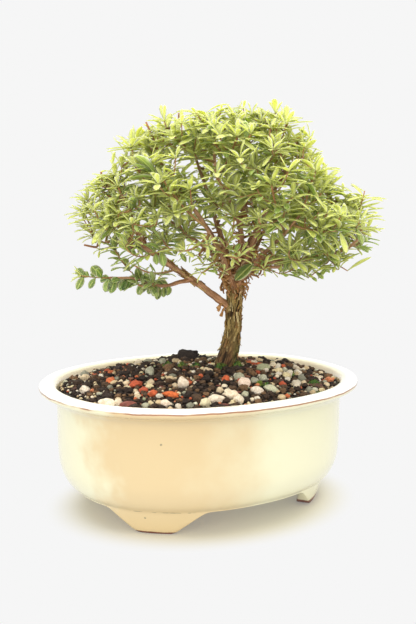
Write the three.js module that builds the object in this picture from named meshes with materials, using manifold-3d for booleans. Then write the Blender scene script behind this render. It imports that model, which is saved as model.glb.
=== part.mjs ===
// A Bahama berry grown as a small tree in an oval glazed pot on four bracket feet.
// Millimetres, +Z up. The pot's long axis lies along X and it stands on z = 0.
import * as THREE from 'three';
import { mergeVertices } from 'three/addons/utils/BufferGeometryUtils.js';
import Module from 'manifold-3d';

const wasm = await Module();
wasm.setup();

// Pot
const rimLength = 200;
const rimWidth = 172;
const potHeight = 76.4;
const ovalPower = 2.17;
const baseHeight = 13.8;
const floorThickness = 6.2;
const potSides = 36;
const floorTop = baseHeight + floorThickness;
const wallInset = 16;
const shoulderInset = 13;

// The pot's outside and its cavity, as the inset from the lip's outer edge at a height
const potOutside = [
  { inset: 20.2, z: baseHeight },
  { inset: 15.4, z: 18.5 },
  { inset: 12.0, z: 27 },
  { inset: 10.7, z: 42 },
  { inset: 10.5, z: 63 },
  { inset: 8.2, z: 68.5 },
  { inset: 1.6, z: 72.8 },
  { inset: 0, z: 74.4 },
  { inset: 0.7, z: 75.8 },
  { inset: 3.2, z: potHeight },
];
const potCavity = [
  { inset: 27, z: floorTop },
  { inset: 20, z: 24.5 },
  { inset: 16.6, z: 34 },
  { inset: wallInset, z: 62 },
  { inset: shoulderInset, z: 68.5 },
  { inset: 10.6, z: 74 },
  { inset: 9.4, z: 75.9 },
  { inset: 7.6, z: potHeight + 0.6 },
];

// Feet: brackets that follow the base's curve at its four corners
const footAngle = 44.5;
const footTopHalfAngle = 24;
const footBottomHalfAngle = 7.7;
const footBottomInset = 24.5;
const footDepth = 10.5;
const footBottomDepth = 8.4;
const footSink = 2.4;
const footSetBack = 0.2;
const footStations = [-1, -0.76, -0.53, -footBottomHalfAngle / footTopHalfAngle, 0];
const footSlopePower = 1.15;
const footEndLap = 0.5;
const footFaceLap = 0.7;

// Drainage
const drainRadius = 8;
const drainSides = 16;
const drainOffset = 40;
const screenSize = 26;
const screenThickness = 0.9;
const screenOpenings = 2;
const screenBar = 3;

// Bed of soil and gravel
const gap = 0.35;
const bedEdge = 73;
const bedPeak = 82.5;
const bedRoundness = 2.2;
const bedSides = 36;
const crumbPitch = 8.4;
const crumbRelief = 2;
const bedRings = 10;
const stoneCount = 30;
const stoneRadius = [3.6, 5.6];
const stoneWidths = [0.66, 0.95];
const stoneHeights = [0.6, 0.8];
const stoneSpread = 0.93;
const rimStones = { from: 0.86, scale: 0.8 };
const stoneClearOfTrunk = 13;

// The tree's own frame: u to the right, w away and z up for a viewer of its best side
const treeTurn = THREE.MathUtils.degToRad(-30.4);

// Trunk and limbs: hand-set points [u, w, z], with the radius at both ends
const trunkPath = [
  [12.5, 7, 58], [14, 6, 70], [15.8, 5, 82], [18.9, 4, 96], [20.2, 3, 108],
  [20.8, 2, 121], [21.4, 2, 131], [21.7, 2, 139],
];
const trunkRadii = [2.6, 7, 7, 5.7, 4.7, 4.6, 4.8, 3.2];
const trunkSides = 10;
const trunkStations = 12;
const barkFlutes = [{ count: 3, depth: 0.1, wind: 4 }, { count: 5, depth: 0.05, wind: -7 }];
const limbs = [
  { path: [[20, 2, 118], [15.7, 2, 121.6], [6.4, 0, 128.4], [-3.4, -2, 136.3], [-16, -5, 144.5],
    [-24.5, -8, 151.6], [-32.7, -10, 157], [-38, -12, 167], [-43, -14, 182], [-48, -15, 191]],
  radii: [2.4, 0.9] },
  { path: [[-4, -2, 137.5], [-12, -4, 136], [-24, -10, 134], [-39, -16, 139], [-54, -21, 140]],
    radii: [1.3, 0.7] },
  { path: [[-32, -10, 157], [-42.7, -6, 162], [-58, 0, 160]], radii: [1.2, 0.7] },
  { path: [[22, 2, 134], [25, 1.5, 141], [32, 0, 147], [51, -4, 148.3], [64, -8, 150.4], [74, -10, 153],
    [86, -12, 156], [97, -14, 165]], radii: [2.1, 0.8] },
  { path: [[23, 3, 137], [31, 6, 143], [48.9, 10, 144.4], [61.7, 14, 147]], radii: [1.6, 0.7] },
  { path: [[22, 2, 136], [27, 6, 153], [46.7, 18, 181], [66, 26, 189], [80, 31, 196]], radii: [1.9, 0.8] },
  { path: [[21.5, 3, 134], [13.3, 12, 161], [2.7, 24, 195], [-4, 28, 214]], radii: [2.1, 0.8] },
  { path: [[22, 2, 136], [24, -4, 170], [10, -10, 200], [8, -12, 216]], radii: [2.2, 0.8] },
  { path: [[23.8, -3, 168], [30, 5, 197], [30, 8, 219]], radii: [1.5, 0.8] },
  { path: [[22.5, 1, 136], [37, -6, 172], [45, -12, 193], [55, -17, 207]], radii: [1.9, 0.8] },
  { path: [[21, 0, 131], [16, -14, 146], [9, -30, 160], [3, -44, 171]], radii: [1.8, 0.7] },
  { path: [[22, 0, 133], [36, -17, 152], [48, -33, 166], [56, -43, 177]], radii: [1.7, 0.7] },
  { path: [[22.5, 4, 131], [31, 20, 147], [39, 37, 161], [44, 48, 173]], radii: [1.9, 0.7] },
  { path: [[21, 4, 133], [8, 20, 151], [-11, 34, 165], [-26, 42, 177]], radii: [1.7, 0.7] },
  { path: [[21, 2, 134], [8, 1, 162], [-8, -3, 186], [-22, -6, 206]], radii: [1.9, 0.8] },
];
const limbSides = 5;
const limbStationSpacing = 15;

// Crown: how far the leaves reach from its heart, by direction in the tree's upright u-z plane
const heart = new THREE.Vector3(20, -1, 165);
const crownReach = [
  { angle: -90, reach: 18 }, { angle: -34, reach: 40 }, { angle: -18, reach: 72 },
  { angle: -6, reach: 91 }, { angle: 4, reach: 93 }, { angle: 28, reach: 76 },
  { angle: 40, reach: 68 }, { angle: 54, reach: 78 }, { angle: 84, reach: 80 },
  { angle: 113, reach: 80 }, { angle: 146, reach: 89 }, { angle: 173, reach: 96 },
  { angle: 197, reach: 92 }, { angle: 213, reach: 66 }, { angle: 235, reach: 26 },
  { angle: 270, reach: 18 },
];
const bareHeart = 0.55;
const crownDepth = 65;
const crownFullness = 0.68;
const crownTurn = 3.12;

// Sprays: leafy shoots that fill the crown, in an outer and an inner layer
const layers = [
  { draws: 43, scale: 0.88 },
  { draws: 5, scale: 0.48 },
];
const shortestShoot = 15;
const bareShare = 0.34;
const basePitch = 4;
const climbCost = 0.8;
const crowding = { within: 5, cost: 14 };
const woodClear = 3.4;
const shootClear = 2.6;
const shootSag = 0.16;
const shootBend = 0.55;
const shootSides = 4;
const shootRadii = [0.95, 0.7];
const budLength = 1.6;
const twigPlace = 0.5;
const twigSpin = 1.6;
const twigReach = { along: 7, across: 11.2, up: 3.5 };

// Leaves: whorls of five on each shoot, with the tilts that leaves take by turns in each whorl
const leavesPerWhorl = 5;
const leafLength = [10.5, 14];
const leafWidth = 5;
const leafThickness = 0.8;
const leafWidest = 0.62;
const leafArch = 0.07;
const leafRib = 0.5;
const leafTiltSpread = 14;
const leafClearance = 0.35;
const mainPlan = [
  { place: 0 }, { place: 0.35 }, { place: 0.7, tilts: [8, 26] }, { place: 1, tilts: [16, 46] },
];
const twigPlan = [{ place: 0 }, { place: 1, tilts: [12, 42] }];
const leafBends = [[0, 1], [16, 1], [-16, 1], [0, 0.78], [24, 0.78], [-24, 0.78]];
const goldenAngle = Math.PI * (3 - Math.sqrt(5));

// A repeatable draw between 0 and 1 for item i of series j
function draw(i, j) {
  const s = Math.sin(i * 12.9898 + j * 78.233) * 43758.5453;
  return s - Math.floor(s);
}

function lerp(a, b, t) {
  return a + (b - a) * t;
}

function vector([x, y, z]) {
  return new THREE.Vector3(x, y, z);
}

// Solid skinned over closed rings that run the same way round, closed by a point at each end
function loft(rings, firstPoint, lastPoint) {
  const points = [...rings.flat(), firstPoint, lastPoint];
  const first = points.length - 2;
  const last = points.length - 1;
  const index = [];
  let start = 0;
  for (let r = 0; r + 1 < rings.length; r++) {
    const next = start + rings[r].length;
    stitch(index, start, rings[r].length, next, rings[r + 1].length);
    start = next;
  }
  const lowCount = rings[0].length;
  for (let i = 0; i < lowCount; i++) {
    index.push(first, (i + 1) % lowCount, i);
  }
  const topCount = rings.at(-1).length;
  for (let i = 0; i < topCount; i++) {
    index.push(last, start + i, start + (i + 1) % topCount);
  }
  return geometryOf(points, index);
}

// Triangles between two rings, which may have unlike counts of points
function stitch(index, low, lowCount, high, highCount) {
  let i = 0;
  let j = 0;
  while (i < lowCount || j < highCount) {
    const a = low + i % lowCount;
    const b = high + j % highCount;
    if (j >= highCount || (i < lowCount && (i + 1) * highCount <= (j + 1) * lowCount)) {
      index.push(a, low + (i + 1) % lowCount, b);
      i++;
    } else {
      index.push(a, high + (j + 1) % highCount, b);
      j++;
    }
  }
}

function geometryOf(points, index) {
  const geometry = new THREE.BufferGeometry().setFromPoints(points);
  geometry.setIndex(index);
  return geometry;
}

function toSolid(geometry) {
  geometry.deleteAttribute('normal');
  geometry.deleteAttribute('uv');
  const merged = mergeVertices(geometry);
  return new wasm.Manifold(new wasm.Mesh({
    numProp: 3,
    vertProperties: new Float32Array(merged.attributes.position.array),
    triVerts: new Uint32Array(merged.index.array),
  }));
}

function toGeometry(solid) {
  const { vertProperties, triVerts } = solid.getMesh();
  const geometry = new THREE.BufferGeometry();
  geometry.setAttribute('position', new THREE.BufferAttribute(vertProperties, 3));
  geometry.setIndex(new THREE.BufferAttribute(triVerts, 1));
  geometry.computeVertexNormals();
  return geometry;
}

function joined(solids) {
  return solids.reduce((whole, solid) => whole.add(solid));
}

// The largest body of a solid, without the loose scraps that cutting leaves
function largestBody(solid) {
  const bodies = solid.decompose();
  return bodies.reduce((best, body) => (body.volume() > best.volume() ? body : best));
}

function pieceOf(name, solid, colour, roughness) {
  const material = new THREE.MeshStandardMaterial({ color: colour, roughness, metalness: 0 });
  const mesh = new THREE.Mesh(toGeometry(solid), material);
  mesh.name = name;
  return mesh;
}

// Pot

function ovalPoint(inset, angle, z) {
  const power = 2 / ovalPower;
  const c = Math.cos(angle);
  const s = Math.sin(angle);
  const x = (rimLength / 2 - inset) * Math.sign(c) * Math.abs(c) ** power;
  const y = (rimWidth / 2 - inset) * Math.sign(s) * Math.abs(s) ** power;
  return new THREE.Vector3(x, y, z);
}

function ovalRing(inset, z, sides) {
  return Array.from({ length: sides }, (_, i) => ovalPoint(inset, 2 * Math.PI * i / sides, z));
}

function ovalLoft(profile, sides) {
  const rings = profile.map(({ inset, z }) => ovalRing(inset, z, sides));
  const bottom = new THREE.Vector3(0, 0, profile[0].z);
  const top = new THREE.Vector3(0, 0, profile.at(-1).z);
  return toSolid(loft(rings, bottom, top));
}

// One foot: a curved bracket whose lower edge rises in a slope on both sides
function foot(middle) {
  const stations = [...footStations, ...footStations.slice(0, -1).reverse().map((t) => -t)];
  const rings = stations.map((t) => {
    const angle = THREE.MathUtils.degToRad(middle + t * footTopHalfAngle);
    const along = (Math.abs(t) * footTopHalfAngle - footBottomHalfAngle)
      / (footTopHalfAngle - footBottomHalfAngle);
    const rise = Math.max(0, along);
    const low = (baseHeight + footEndLap) * rise ** footSlopePower;
    const edge = potOutside[0].inset + footSetBack;
    const outer = lerp(footBottomInset, edge, low / baseHeight);
    return [
      ovalPoint(footBottomInset + footBottomDepth, angle, low),
      ovalPoint(edge + footDepth, angle, baseHeight + footSink),
      ovalPoint(edge + footSink, angle, baseHeight + footSink),
      ovalPoint(edge, angle, baseHeight + footFaceLap),
      ovalPoint(outer, angle, low),
    ];
  });
  const centre = (ring) => ring
    .reduce((sum, p) => sum.add(p), new THREE.Vector3())
    .divideScalar(ring.length);
  return toSolid(loft(rings, centre(rings[0]), centre(rings.at(-1))));
}

function drainHole(side) {
  const geometry = new THREE.CylinderGeometry(drainRadius, drainRadius, floorThickness * 3, drainSides);
  geometry.rotateX(Math.PI / 2);
  geometry.translate(side * drainOffset, 0, baseHeight + floorThickness / 2);
  return toSolid(geometry);
}

function pot() {
  const feet = [footAngle, 180 - footAngle, 180 + footAngle, 360 - footAngle].map(foot);
  return joined([ovalLoft(potOutside, potSides), ...feet])
    .subtract(ovalLoft(potCavity, potSides))
    .subtract(drainHole(-1))
    .subtract(drainHole(1));
}

// Plastic screen over a drainage hole, lying on the pot's floor
function drainScreen(side) {
  const box = (x, y, width, height) => {
    const geometry = new THREE.BoxGeometry(width, width, height);
    geometry.translate(side * drainOffset + x, y, floorTop + gap + screenThickness / 2);
    return toSolid(geometry);
  };
  const pitch = (screenSize - screenBar) / screenOpenings;
  let screen = box(0, 0, screenSize, screenThickness);
  for (let i = 0; i < screenOpenings; i++) {
    for (let j = 0; j < screenOpenings; j++) {
      const x = (i - (screenOpenings - 1) / 2) * pitch;
      const y = (j - (screenOpenings - 1) / 2) * pitch;
      screen = screen.subtract(box(x, y, pitch - screenBar, 3 * screenThickness));
    }
  }
  return screen;
}

// Trunk and limbs

// Tapered tube along a curve; swell varies the radius round and along it
function tube(curve, steps, sides, radiusAt, swell = () => 1) {
  const frames = curve.computeFrenetFrames(steps, false);
  const rings = [];
  for (let i = 0; i <= steps; i++) {
    const centre = curve.getPointAt(i / steps);
    const ring = [];
    for (let k = 0; k < sides; k++) {
      const angle = 2 * Math.PI * k / sides;
      const radius = radiusAt(i / steps) * swell(angle, i / steps);
      ring.push(centre.clone()
        .addScaledVector(frames.normals[i], Math.cos(angle) * radius)
        .addScaledVector(frames.binormals[i], Math.sin(angle) * radius));
    }
    rings.push(ring);
  }
  return toSolid(loft(rings, curve.getPointAt(0), curve.getPointAt(1)));
}

// Ridged bark: three broad flutes that wind slowly up the trunk, and smaller ones
function barkSwell(angle, t) {
  return barkFlutes.reduce((swell, { count, depth, wind }) => (
    swell + depth * Math.cos(count * angle + wind * t)
  ), 1);
}

function trunk(clearance) {
  const curve = new THREE.CatmullRomCurve3(trunkPath.map(vector), false, 'centripetal');
  const radiusAt = (t) => {
    const place = curve.getUtoTmapping(t) * (trunkRadii.length - 1);
    const low = Math.min(Math.floor(place), trunkRadii.length - 2);
    return lerp(trunkRadii[low], trunkRadii[low + 1], place - low) + clearance;
  };
  return tube(curve, trunkStations, trunkSides, radiusAt, barkSwell);
}

function limbCurve({ path }) {
  return new THREE.CatmullRomCurve3(path.map(vector), false, 'centripetal');
}

function limb(shape, clearance) {
  const curve = limbCurve(shape);
  const steps = Math.max(3, Math.round(curve.getLength() / limbStationSpacing));
  const radiusAt = (t) => lerp(shape.radii[0], shape.radii[1], t) + clearance;
  return tube(curve, steps, limbSides, radiusAt);
}

function wood(clearance) {
  return joined([trunk(clearance), ...limbs.map((shape) => limb(shape, clearance))]);
}

// Bed of soil and gravel

// The bed is highest in the middle, with low waves that die away at its edge
function bedHeight(x, y) {
  const half = [rimLength / 2 - wallInset, rimWidth / 2 - wallInset];
  const out = Math.min(1, Math.hypot(x / half[0], y / half[1]));
  const waves = Math.sin(x * 0.11 + 1) * Math.cos(y * 0.13) + 0.6 * Math.sin(x * 0.23 - y * 0.19);
  return lerp(bedPeak, bedEdge, out ** bedRoundness) + waves * (1 - out ** 4);
}

function stone(k) {
  const reach = Math.sqrt((k + 0.5) / stoneCount) * stoneSpread;
  const turn = k * goldenAngle + 0.5 * (draw(k, 1) - 0.5);
  const inset = wallInset + gap;
  const x = (rimLength / 2 - inset) * reach * Math.cos(turn);
  const y = (rimWidth / 2 - inset) * reach * Math.sin(turn);
  const fit = reach > rimStones.from ? rimStones.scale : 1;
  const radius = lerp(stoneRadius[0], stoneRadius[1], draw(k, 2)) * fit;
  const geometry = new THREE.IcosahedronGeometry(radius);
  geometry.scale(1, lerp(stoneWidths[0], stoneWidths[1], draw(k, 3)),
    lerp(stoneHeights[0], stoneHeights[1], draw(k, 4)));
  geometry.rotateZ(2 * Math.PI * draw(k, 5));
  geometry.translate(x, y, bedHeight(x, y) + radius * 0.1);
  return { x, y, geometry };
}

// Rough ring of the bed's top: crumbs stand up and lie low by turns
function crumbRing(level) {
  const share = 1 - level / bedRings;
  const rim = shoulderInset + gap;
  const count = 2 * Math.round(Math.PI * (rimLength + rimWidth - 4 * rim) / 4 * share / crumbPitch);
  return ovalRing(rim, 0, count).map((p, i) => {
    const x = p.x * share;
    const y = p.y * share;
    const rough = crumbRelief * ((i + level) % 2 ? 1 : -1) * (0.4 + 0.6 * draw(i, level + 20));
    return new THREE.Vector3(x, y, bedHeight(x, y) + rough);
  });
}

function bed(trunkHole, pockets) {
  const rings = potCavity.slice(0, 4)
    .map(({ inset, z }) => ovalRing(inset + gap, Math.max(z, floorTop + gap), bedSides));
  rings.push(ovalRing(shoulderInset + gap, bedEdge - crumbRelief, bedSides));
  for (let level = 1; level < bedRings; level++) {
    rings.push(crumbRing(level));
  }
  const floor = new THREE.Vector3(0, 0, floorTop + gap);
  const soil = toSolid(loft(rings, floor, new THREE.Vector3(0, 0, bedHeight(0, 0))));
  const base = vector(trunkPath[2]).applyAxisAngle(new THREE.Vector3(0, 0, 1), treeTurn);
  const stones = Array.from({ length: stoneCount }, (_, k) => stone(k))
    .filter(({ x, y }) => Math.hypot(x - base.x, y - base.y) > stoneClearOfTrunk)
    .map(({ geometry }) => toSolid(geometry));
  return largestBody(joined([soil, ...stones]).subtract(trunkHole).subtract(joined(pockets)));
}

function screenPocket(side) {
  const size = screenSize + 2 * gap;
  const geometry = new THREE.BoxGeometry(size, size, 2 * (screenThickness + 2 * gap));
  geometry.translate(side * drainOffset, 0, floorTop);
  return toSolid(geometry);
}

// Crown

// Reach of the crown from its heart at an angle in the upright plane, in degrees
function reachAt(angle) {
  const turned = angle < crownReach[0].angle ? angle + 360 : angle;
  const next = Math.max(1, crownReach.findIndex((corner) => corner.angle >= turned));
  const [low, high] = [crownReach[next - 1], crownReach[next]];
  return lerp(low.reach, high.reach, (turned - low.angle) / (high.angle - low.angle));
}

// Ends of the sprays: points spread evenly over the crown, layer by layer, with none at the trunk's fork
function sprayTips() {
  const tips = [];
  layers.forEach(({ draws, scale }, layer) => {
    for (let k = 0; k < draws; k++) {
      const away = 1 - 2 * (k + 0.5) / draws;
      const side = Math.sqrt(1 - away * away);
      const turn = k * goldenAngle + layer + crownTurn;
      const du = side ** crownFullness * Math.cos(turn);
      const dz = side ** crownFullness * Math.sin(turn);
      const reach = reachAt(THREE.MathUtils.radToDeg(Math.atan2(dz, du))) * scale;
      if (dz > -bareHeart || Math.abs(away) > bareHeart) {
        const offset = new THREE.Vector3(du * reach, away * crownDepth * scale, dz * reach);
        tips.push(heart.clone().add(offset));
      }
    }
  });
  return tips;
}

// Places on the limbs where a shoot can start, leaving each limb's first part bare
function shootBases() {
  const bases = [];
  limbs.forEach((shape, index) => {
    const curve = limbCurve(shape);
    const count = Math.round(curve.getLength() / basePitch);
    for (let i = Math.ceil(count * bareShare); i <= count; i++) {
      bases.push({ point: curve.getPointAt(i / count), limb: index });
    }
  });
  return bases;
}

function shootCurve(base, tip) {
  const bend = base.clone().lerp(tip, shootBend);
  bend.z -= shootSag * base.distanceTo(tip);
  return new THREE.QuadraticBezierCurve3(base, bend, tip);
}

// Each spray's main shoot, from the limb point that suits its tip best and leaves other wood clear
function layOutShoots() {
  const bases = shootBases();
  const trunkCurve = new THREE.CatmullRomCurve3(trunkPath.map(vector), false, 'centripetal');
  const woodPoints = [
    ...trunkCurve.getSpacedPoints(24).map((point) => ({ point, limb: -1 })),
    ...limbs.flatMap((shape, index) => limbCurve(shape).getSpacedPoints(20)
      .map((point) => ({ point, limb: index }))),
  ];
  const shoots = [];
  for (const tip of sprayTips()) {
    const isCrowded = ({ point }) => shoots
      .some((shoot) => shoot.base.distanceTo(point) < crowding.within);
    const cost = (base) => base.point.distanceTo(tip)
      + climbCost * Math.max(0, base.point.z - tip.z)
      + (isCrowded(base) ? crowding.cost : 0);
    const order = bases.filter((base) => base.point.distanceTo(tip) > shortestShoot)
      .map((base) => ({ base, cost: cost(base) }))
      .sort((a, b) => a.cost - b.cost);
    for (const { base } of order) {
      const curve = shootCurve(base.point, tip);
      const points = curve.getSpacedPoints(10);
      const nearWood = woodPoints.some(({ point, limb }) => limb !== base.limb
        && points.some((p) => p.distanceTo(point) < woodClear));
      const nearShoot = shoots.some((shoot) => shoot.points
        .some((q) => points.some((p) => p.distanceTo(q) < shootClear)));
      if (!nearWood && !nearShoot) {
        shoots.push({ base: base.point, points, curve });
        break;
      }
    }
  }
  return shoots;
}

// Side twig of a shoot, on either side of it
function twigCurve(curve, k) {
  const start = curve.getPointAt(twigPlace);
  const along = curve.getTangentAt(twigPlace);
  const across = new THREE.Vector3(0, 0, 1).cross(along).normalize();
  across.applyAxisAngle(along, twigSpin * (draw(k, 7) - 0.5));
  if (draw(k, 3) > 0.5) {
    across.negate();
  }
  const end = start.clone()
    .addScaledVector(along, twigReach.along)
    .addScaledVector(across, twigReach.across);
  end.z += twigReach.up;
  return new THREE.LineCurve3(start, end);
}

// Points round a shoot at one place along it, turned by a share of the step between points
function shootRing(frame, radius, turn, lift) {
  const centre = frame.centre.clone().addScaledVector(frame.axis, lift);
  return Array.from({ length: leavesPerWhorl }, (_, i) => {
    const angle = 2 * Math.PI * (i + turn) / leavesPerWhorl;
    return centre.clone()
      .addScaledVector(frame.normal, Math.cos(angle) * radius)
      .addScaledVector(frame.binormal, Math.sin(angle) * radius);
  });
}

function framesOf(curve, places) {
  const steps = 20;
  const { tangents, normals, binormals } = curve.computeFrenetFrames(steps, false);
  return places.map((place) => {
    const i = Math.round(place * steps);
    const centre = curve.getPointAt(i / steps);
    return { centre, axis: tangents[i], normal: normals[i], binormal: binormals[i] };
  });
}

// Corner points of a leaf: its two widest points, its tip, and its rib above and below
function leafPoints({ frame, out, tilt, length }, grow) {
  const along = out.clone().multiplyScalar(Math.cos(tilt)).addScaledVector(frame.axis, Math.sin(tilt));
  const across = frame.axis.clone().cross(out);
  const face = along.clone().cross(across);
  const half = leafWidth / 2 + grow;
  const arch = leafArch * length;
  const at = (share, lift) => frame.centre.clone()
    .addScaledVector(along, length * share)
    .addScaledVector(face, lift);
  return {
    left: at(leafWidest, arch).addScaledVector(across, half),
    right: at(leafWidest, arch).addScaledVector(across, -half),
    tip: frame.centre.clone().addScaledVector(along, length + grow),
    above: at(leafRib, arch + leafThickness / 2 + grow),
    below: at(leafRib, arch - leafThickness / 2 - grow),
    root: frame.centre.clone().addScaledVector(along, -grow),
  };
}

// A single leaf as a closed body of eight faces, grown by a clearance on all sides
function leafBody(leaf, grow) {
  const { left, right, tip, above, below, root } = leafPoints(leaf, grow);
  const points = [root, right, tip, left, above, below];
  const index = [0, 1, 4, 1, 2, 4, 2, 3, 4, 3, 0, 4, 1, 0, 5, 2, 1, 5, 3, 2, 5, 0, 3, 5];
  return toSolid(geometryOf(points, index));
}

// One closed body for a shoot whose leaves grow out of its facets in whorls
function leafyShoot(stations) {
  const points = [];
  const index = [];
  const rings = [];
  const addRing = (ring) => {
    rings.push(points.length);
    points.push(...ring);
  };
  const count = leavesPerWhorl;
  const joinRings = () => {
    if (rings.length > 1) {
      stitch(index, rings.at(-2), count, rings.at(-1), count);
    }
  };
  for (const { frame, radius, turn, leaves } of stations) {
    if (!leaves) {
      addRing(shootRing(frame, radius, turn, 0));
      joinRings();
      continue;
    }
    addRing(shootRing(frame, radius, turn, -leafThickness / 2));
    joinRings();
    addRing(shootRing(frame, radius, turn, leafThickness / 2));
    leaves.forEach((leaf, i) => {
      const next = (i + 1) % count;
      const [lowRight, lowLeft] = [rings.at(-2) + i, rings.at(-2) + next];
      const [highRight, highLeft] = [rings.at(-1) + i, rings.at(-1) + next];
      if (!leaf) {
        index.push(lowRight, lowLeft, highLeft, lowRight, highLeft, highRight);
        return;
      }
      const corners = leafPoints(leaf, 0);
      const right = points.length;
      const [above, left, below, tip] = [right + 1, right + 2, right + 3, right + 4];
      points.push(corners.right, corners.above, corners.left, corners.below, corners.tip);
      index.push(highRight, above, highLeft, highRight, right, above, lowRight, right, highRight);
      index.push(lowRight, below, right, lowRight, lowLeft, below, lowLeft, left, below);
      index.push(lowLeft, highLeft, left, highLeft, above, left);
      index.push(right, tip, above, above, tip, left, left, tip, below, below, tip, right);
    });
  }
  const { frame } = stations.at(-1);
  const rootPoint = points.push(stations[0].frame.centre) - 1;
  const bud = points.push(frame.centre.clone().addScaledVector(frame.axis, budLength)) - 1;
  for (let i = 0; i < count; i++) {
    const next = (i + 1) % count;
    index.push(rootPoint, next, i, bud, rings.at(-1) + i, rings.at(-1) + next);
  }
  return toSolid(geometryOf(points, index));
}

// What already stands in the crown, so that a new leaf can be bent clear of it or left out
class Crown {
  constructor(woodBodies) {
    this.taken = [];
    woodBodies.forEach((body) => this.add(body, 'wood', 'wood', null));
  }

  add(body, spray, shoot, whorl) {
    this.taken.push({ body, box: body.boundingBox(), spray, shoot, whorl });
  }

  meets(body, isOther) {
    const box = body.boundingBox();
    return this.taken.some((other) => isOther(other)
      && [0, 1, 2].every((n) => box.min[n] < other.box.max[n] && other.box.min[n] < box.max[n])
      && other.body.intersect(body).volume() > 0);
  }
}

// A leaf that crosses another part is bent steeper, then flatter, then shortened, then left out
function clearLeaf(leaf, crown, shoot, whorl) {
  const isOther = (other) => other.shoot !== shoot || (other.whorl !== null && other.whorl !== whorl);
  for (const [bend, share] of leafBends) {
    const tilt = leaf.tilt + THREE.MathUtils.degToRad(bend);
    const bent = { ...leaf, tilt, length: leaf.length * share };
    if (!crown.meets(leafBody(bent, 0), isOther)) {
      crown.add(leafBody(bent, leafClearance), whorl.spray, shoot, whorl);
      return bent;
    }
  }
  return null;
}

function whorlLeaves(frame, turn, tilts, k) {
  return Array.from({ length: leavesPerWhorl }, (_, i) => {
    const angle = 2 * Math.PI * (i + 0.5 + turn) / leavesPerWhorl;
    const out = frame.normal.clone().multiplyScalar(Math.cos(angle))
      .addScaledVector(frame.binormal, Math.sin(angle));
    const tilt = THREE.MathUtils.degToRad(tilts[i % 2] + leafTiltSpread * (draw(k + i, 12) - 0.5));
    const length = lerp(leafLength[0], leafLength[1], draw(k + 3 * i, 13));
    return { frame, out, tilt, length };
  });
}

// Body of a shoot with a whorl at each of its leafy stations
function grow(curve, plan, crown, spray, shoot) {
  const frames = framesOf(curve, plan.map(({ place }) => place));
  const stations = plan.map(({ place, tilts }, i) => {
    const radius = lerp(shootRadii[0], shootRadii[1], place);
    const turn = 0.5 * i + draw(spray, 5);
    const whorl = { spray };
    const leaves = tilts && whorlLeaves(frames[i], turn, tilts, 10 * spray + i)
      .map((leaf) => clearLeaf(leaf, crown, shoot, whorl));
    return { frame: frames[i], radius, turn, leaves };
  });
  return leafyShoot(stations);
}

function shootSleeve(curve) {
  return tube(curve, 3, shootSides, () => shootRadii[0] + leafClearance);
}

function spray(shoot, k, crown, woodSleeve) {
  const parts = [grow(shoot.curve, mainPlan, crown, k, `main ${k}`)];
  const twig = twigCurve(shoot.curve, k);
  const sleeve = shootSleeve(twig);
  if (!crown.meets(sleeve, (other) => other.spray !== k)) {
    crown.add(sleeve, k, `twig ${k}`, null);
    parts.push(grow(twig, twigPlan, crown, k, `twig ${k}`));
  }
  return largestBody(joined(parts).subtract(woodSleeve));
}

// Assembly

function crownSprays() {
  const shoots = layOutShoots();
  const crown = new Crown([trunk(gap), ...limbs.map((shape) => limb(shape, gap))]);
  shoots.forEach(({ curve }, k) => crown.add(shootSleeve(curve), k, `main ${k}`, null));
  const woodSleeve = wood(gap);
  return shoots.map((shoot, k) => spray(shoot, k, crown, woodSleeve));
}

const potGroup = new THREE.Group();
potGroup.add(pieceOf('pot', pot(), '#f3dfb4', 0.2));
potGroup.add(pieceOf('drain_screen_left', drainScreen(-1), '#2e3330', 0.5));
potGroup.add(pieceOf('drain_screen_right', drainScreen(1), '#2e3330', 0.5));
const trunkHole = trunk(gap).rotate([0, 0, THREE.MathUtils.radToDeg(treeTurn)]);
potGroup.add(pieceOf('soil_bed', bed(trunkHole, [screenPocket(-1), screenPocket(1)]), '#4b3a2e', 0.95));

const tree = new THREE.Group();
tree.rotation.z = treeTurn;
tree.add(pieceOf('trunk_and_limbs', wood(0), '#7d5f3c', 0.9));
crownSprays().forEach((body, k) => {
  tree.add(pieceOf(`leafy_spray_${String(k + 1).padStart(2, '0')}`, body, '#8ba94e', 0.55));
});

// The origin is below the middle of the whole plant and pot, on the surface they stand on
const bonsai = new THREE.Group();
bonsai.add(potGroup, tree);
const box = new THREE.Box3().setFromObject(bonsai, true);
const middle = box.getCenter(new THREE.Vector3());
bonsai.position.set(-middle.x, -middle.y, -box.min.z);

export default bonsai;
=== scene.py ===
"""A Bahama berry grown as a small tree in an oval cream glazed pot, dressed for its portrait.

Sizes are in millimetres in the pot's own frame: x along the pot, y to the back, z up from the shelf. The
tree is written in a frame turned with it: u to the right, w away and z up for a viewer of its best side.
"""

import logging
import math
from collections.abc import Callable, Iterable, Sequence
from dataclasses import dataclass, field
from enum import Enum
from functools import cache

import bpy
import numpy as np
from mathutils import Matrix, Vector, noise


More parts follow.
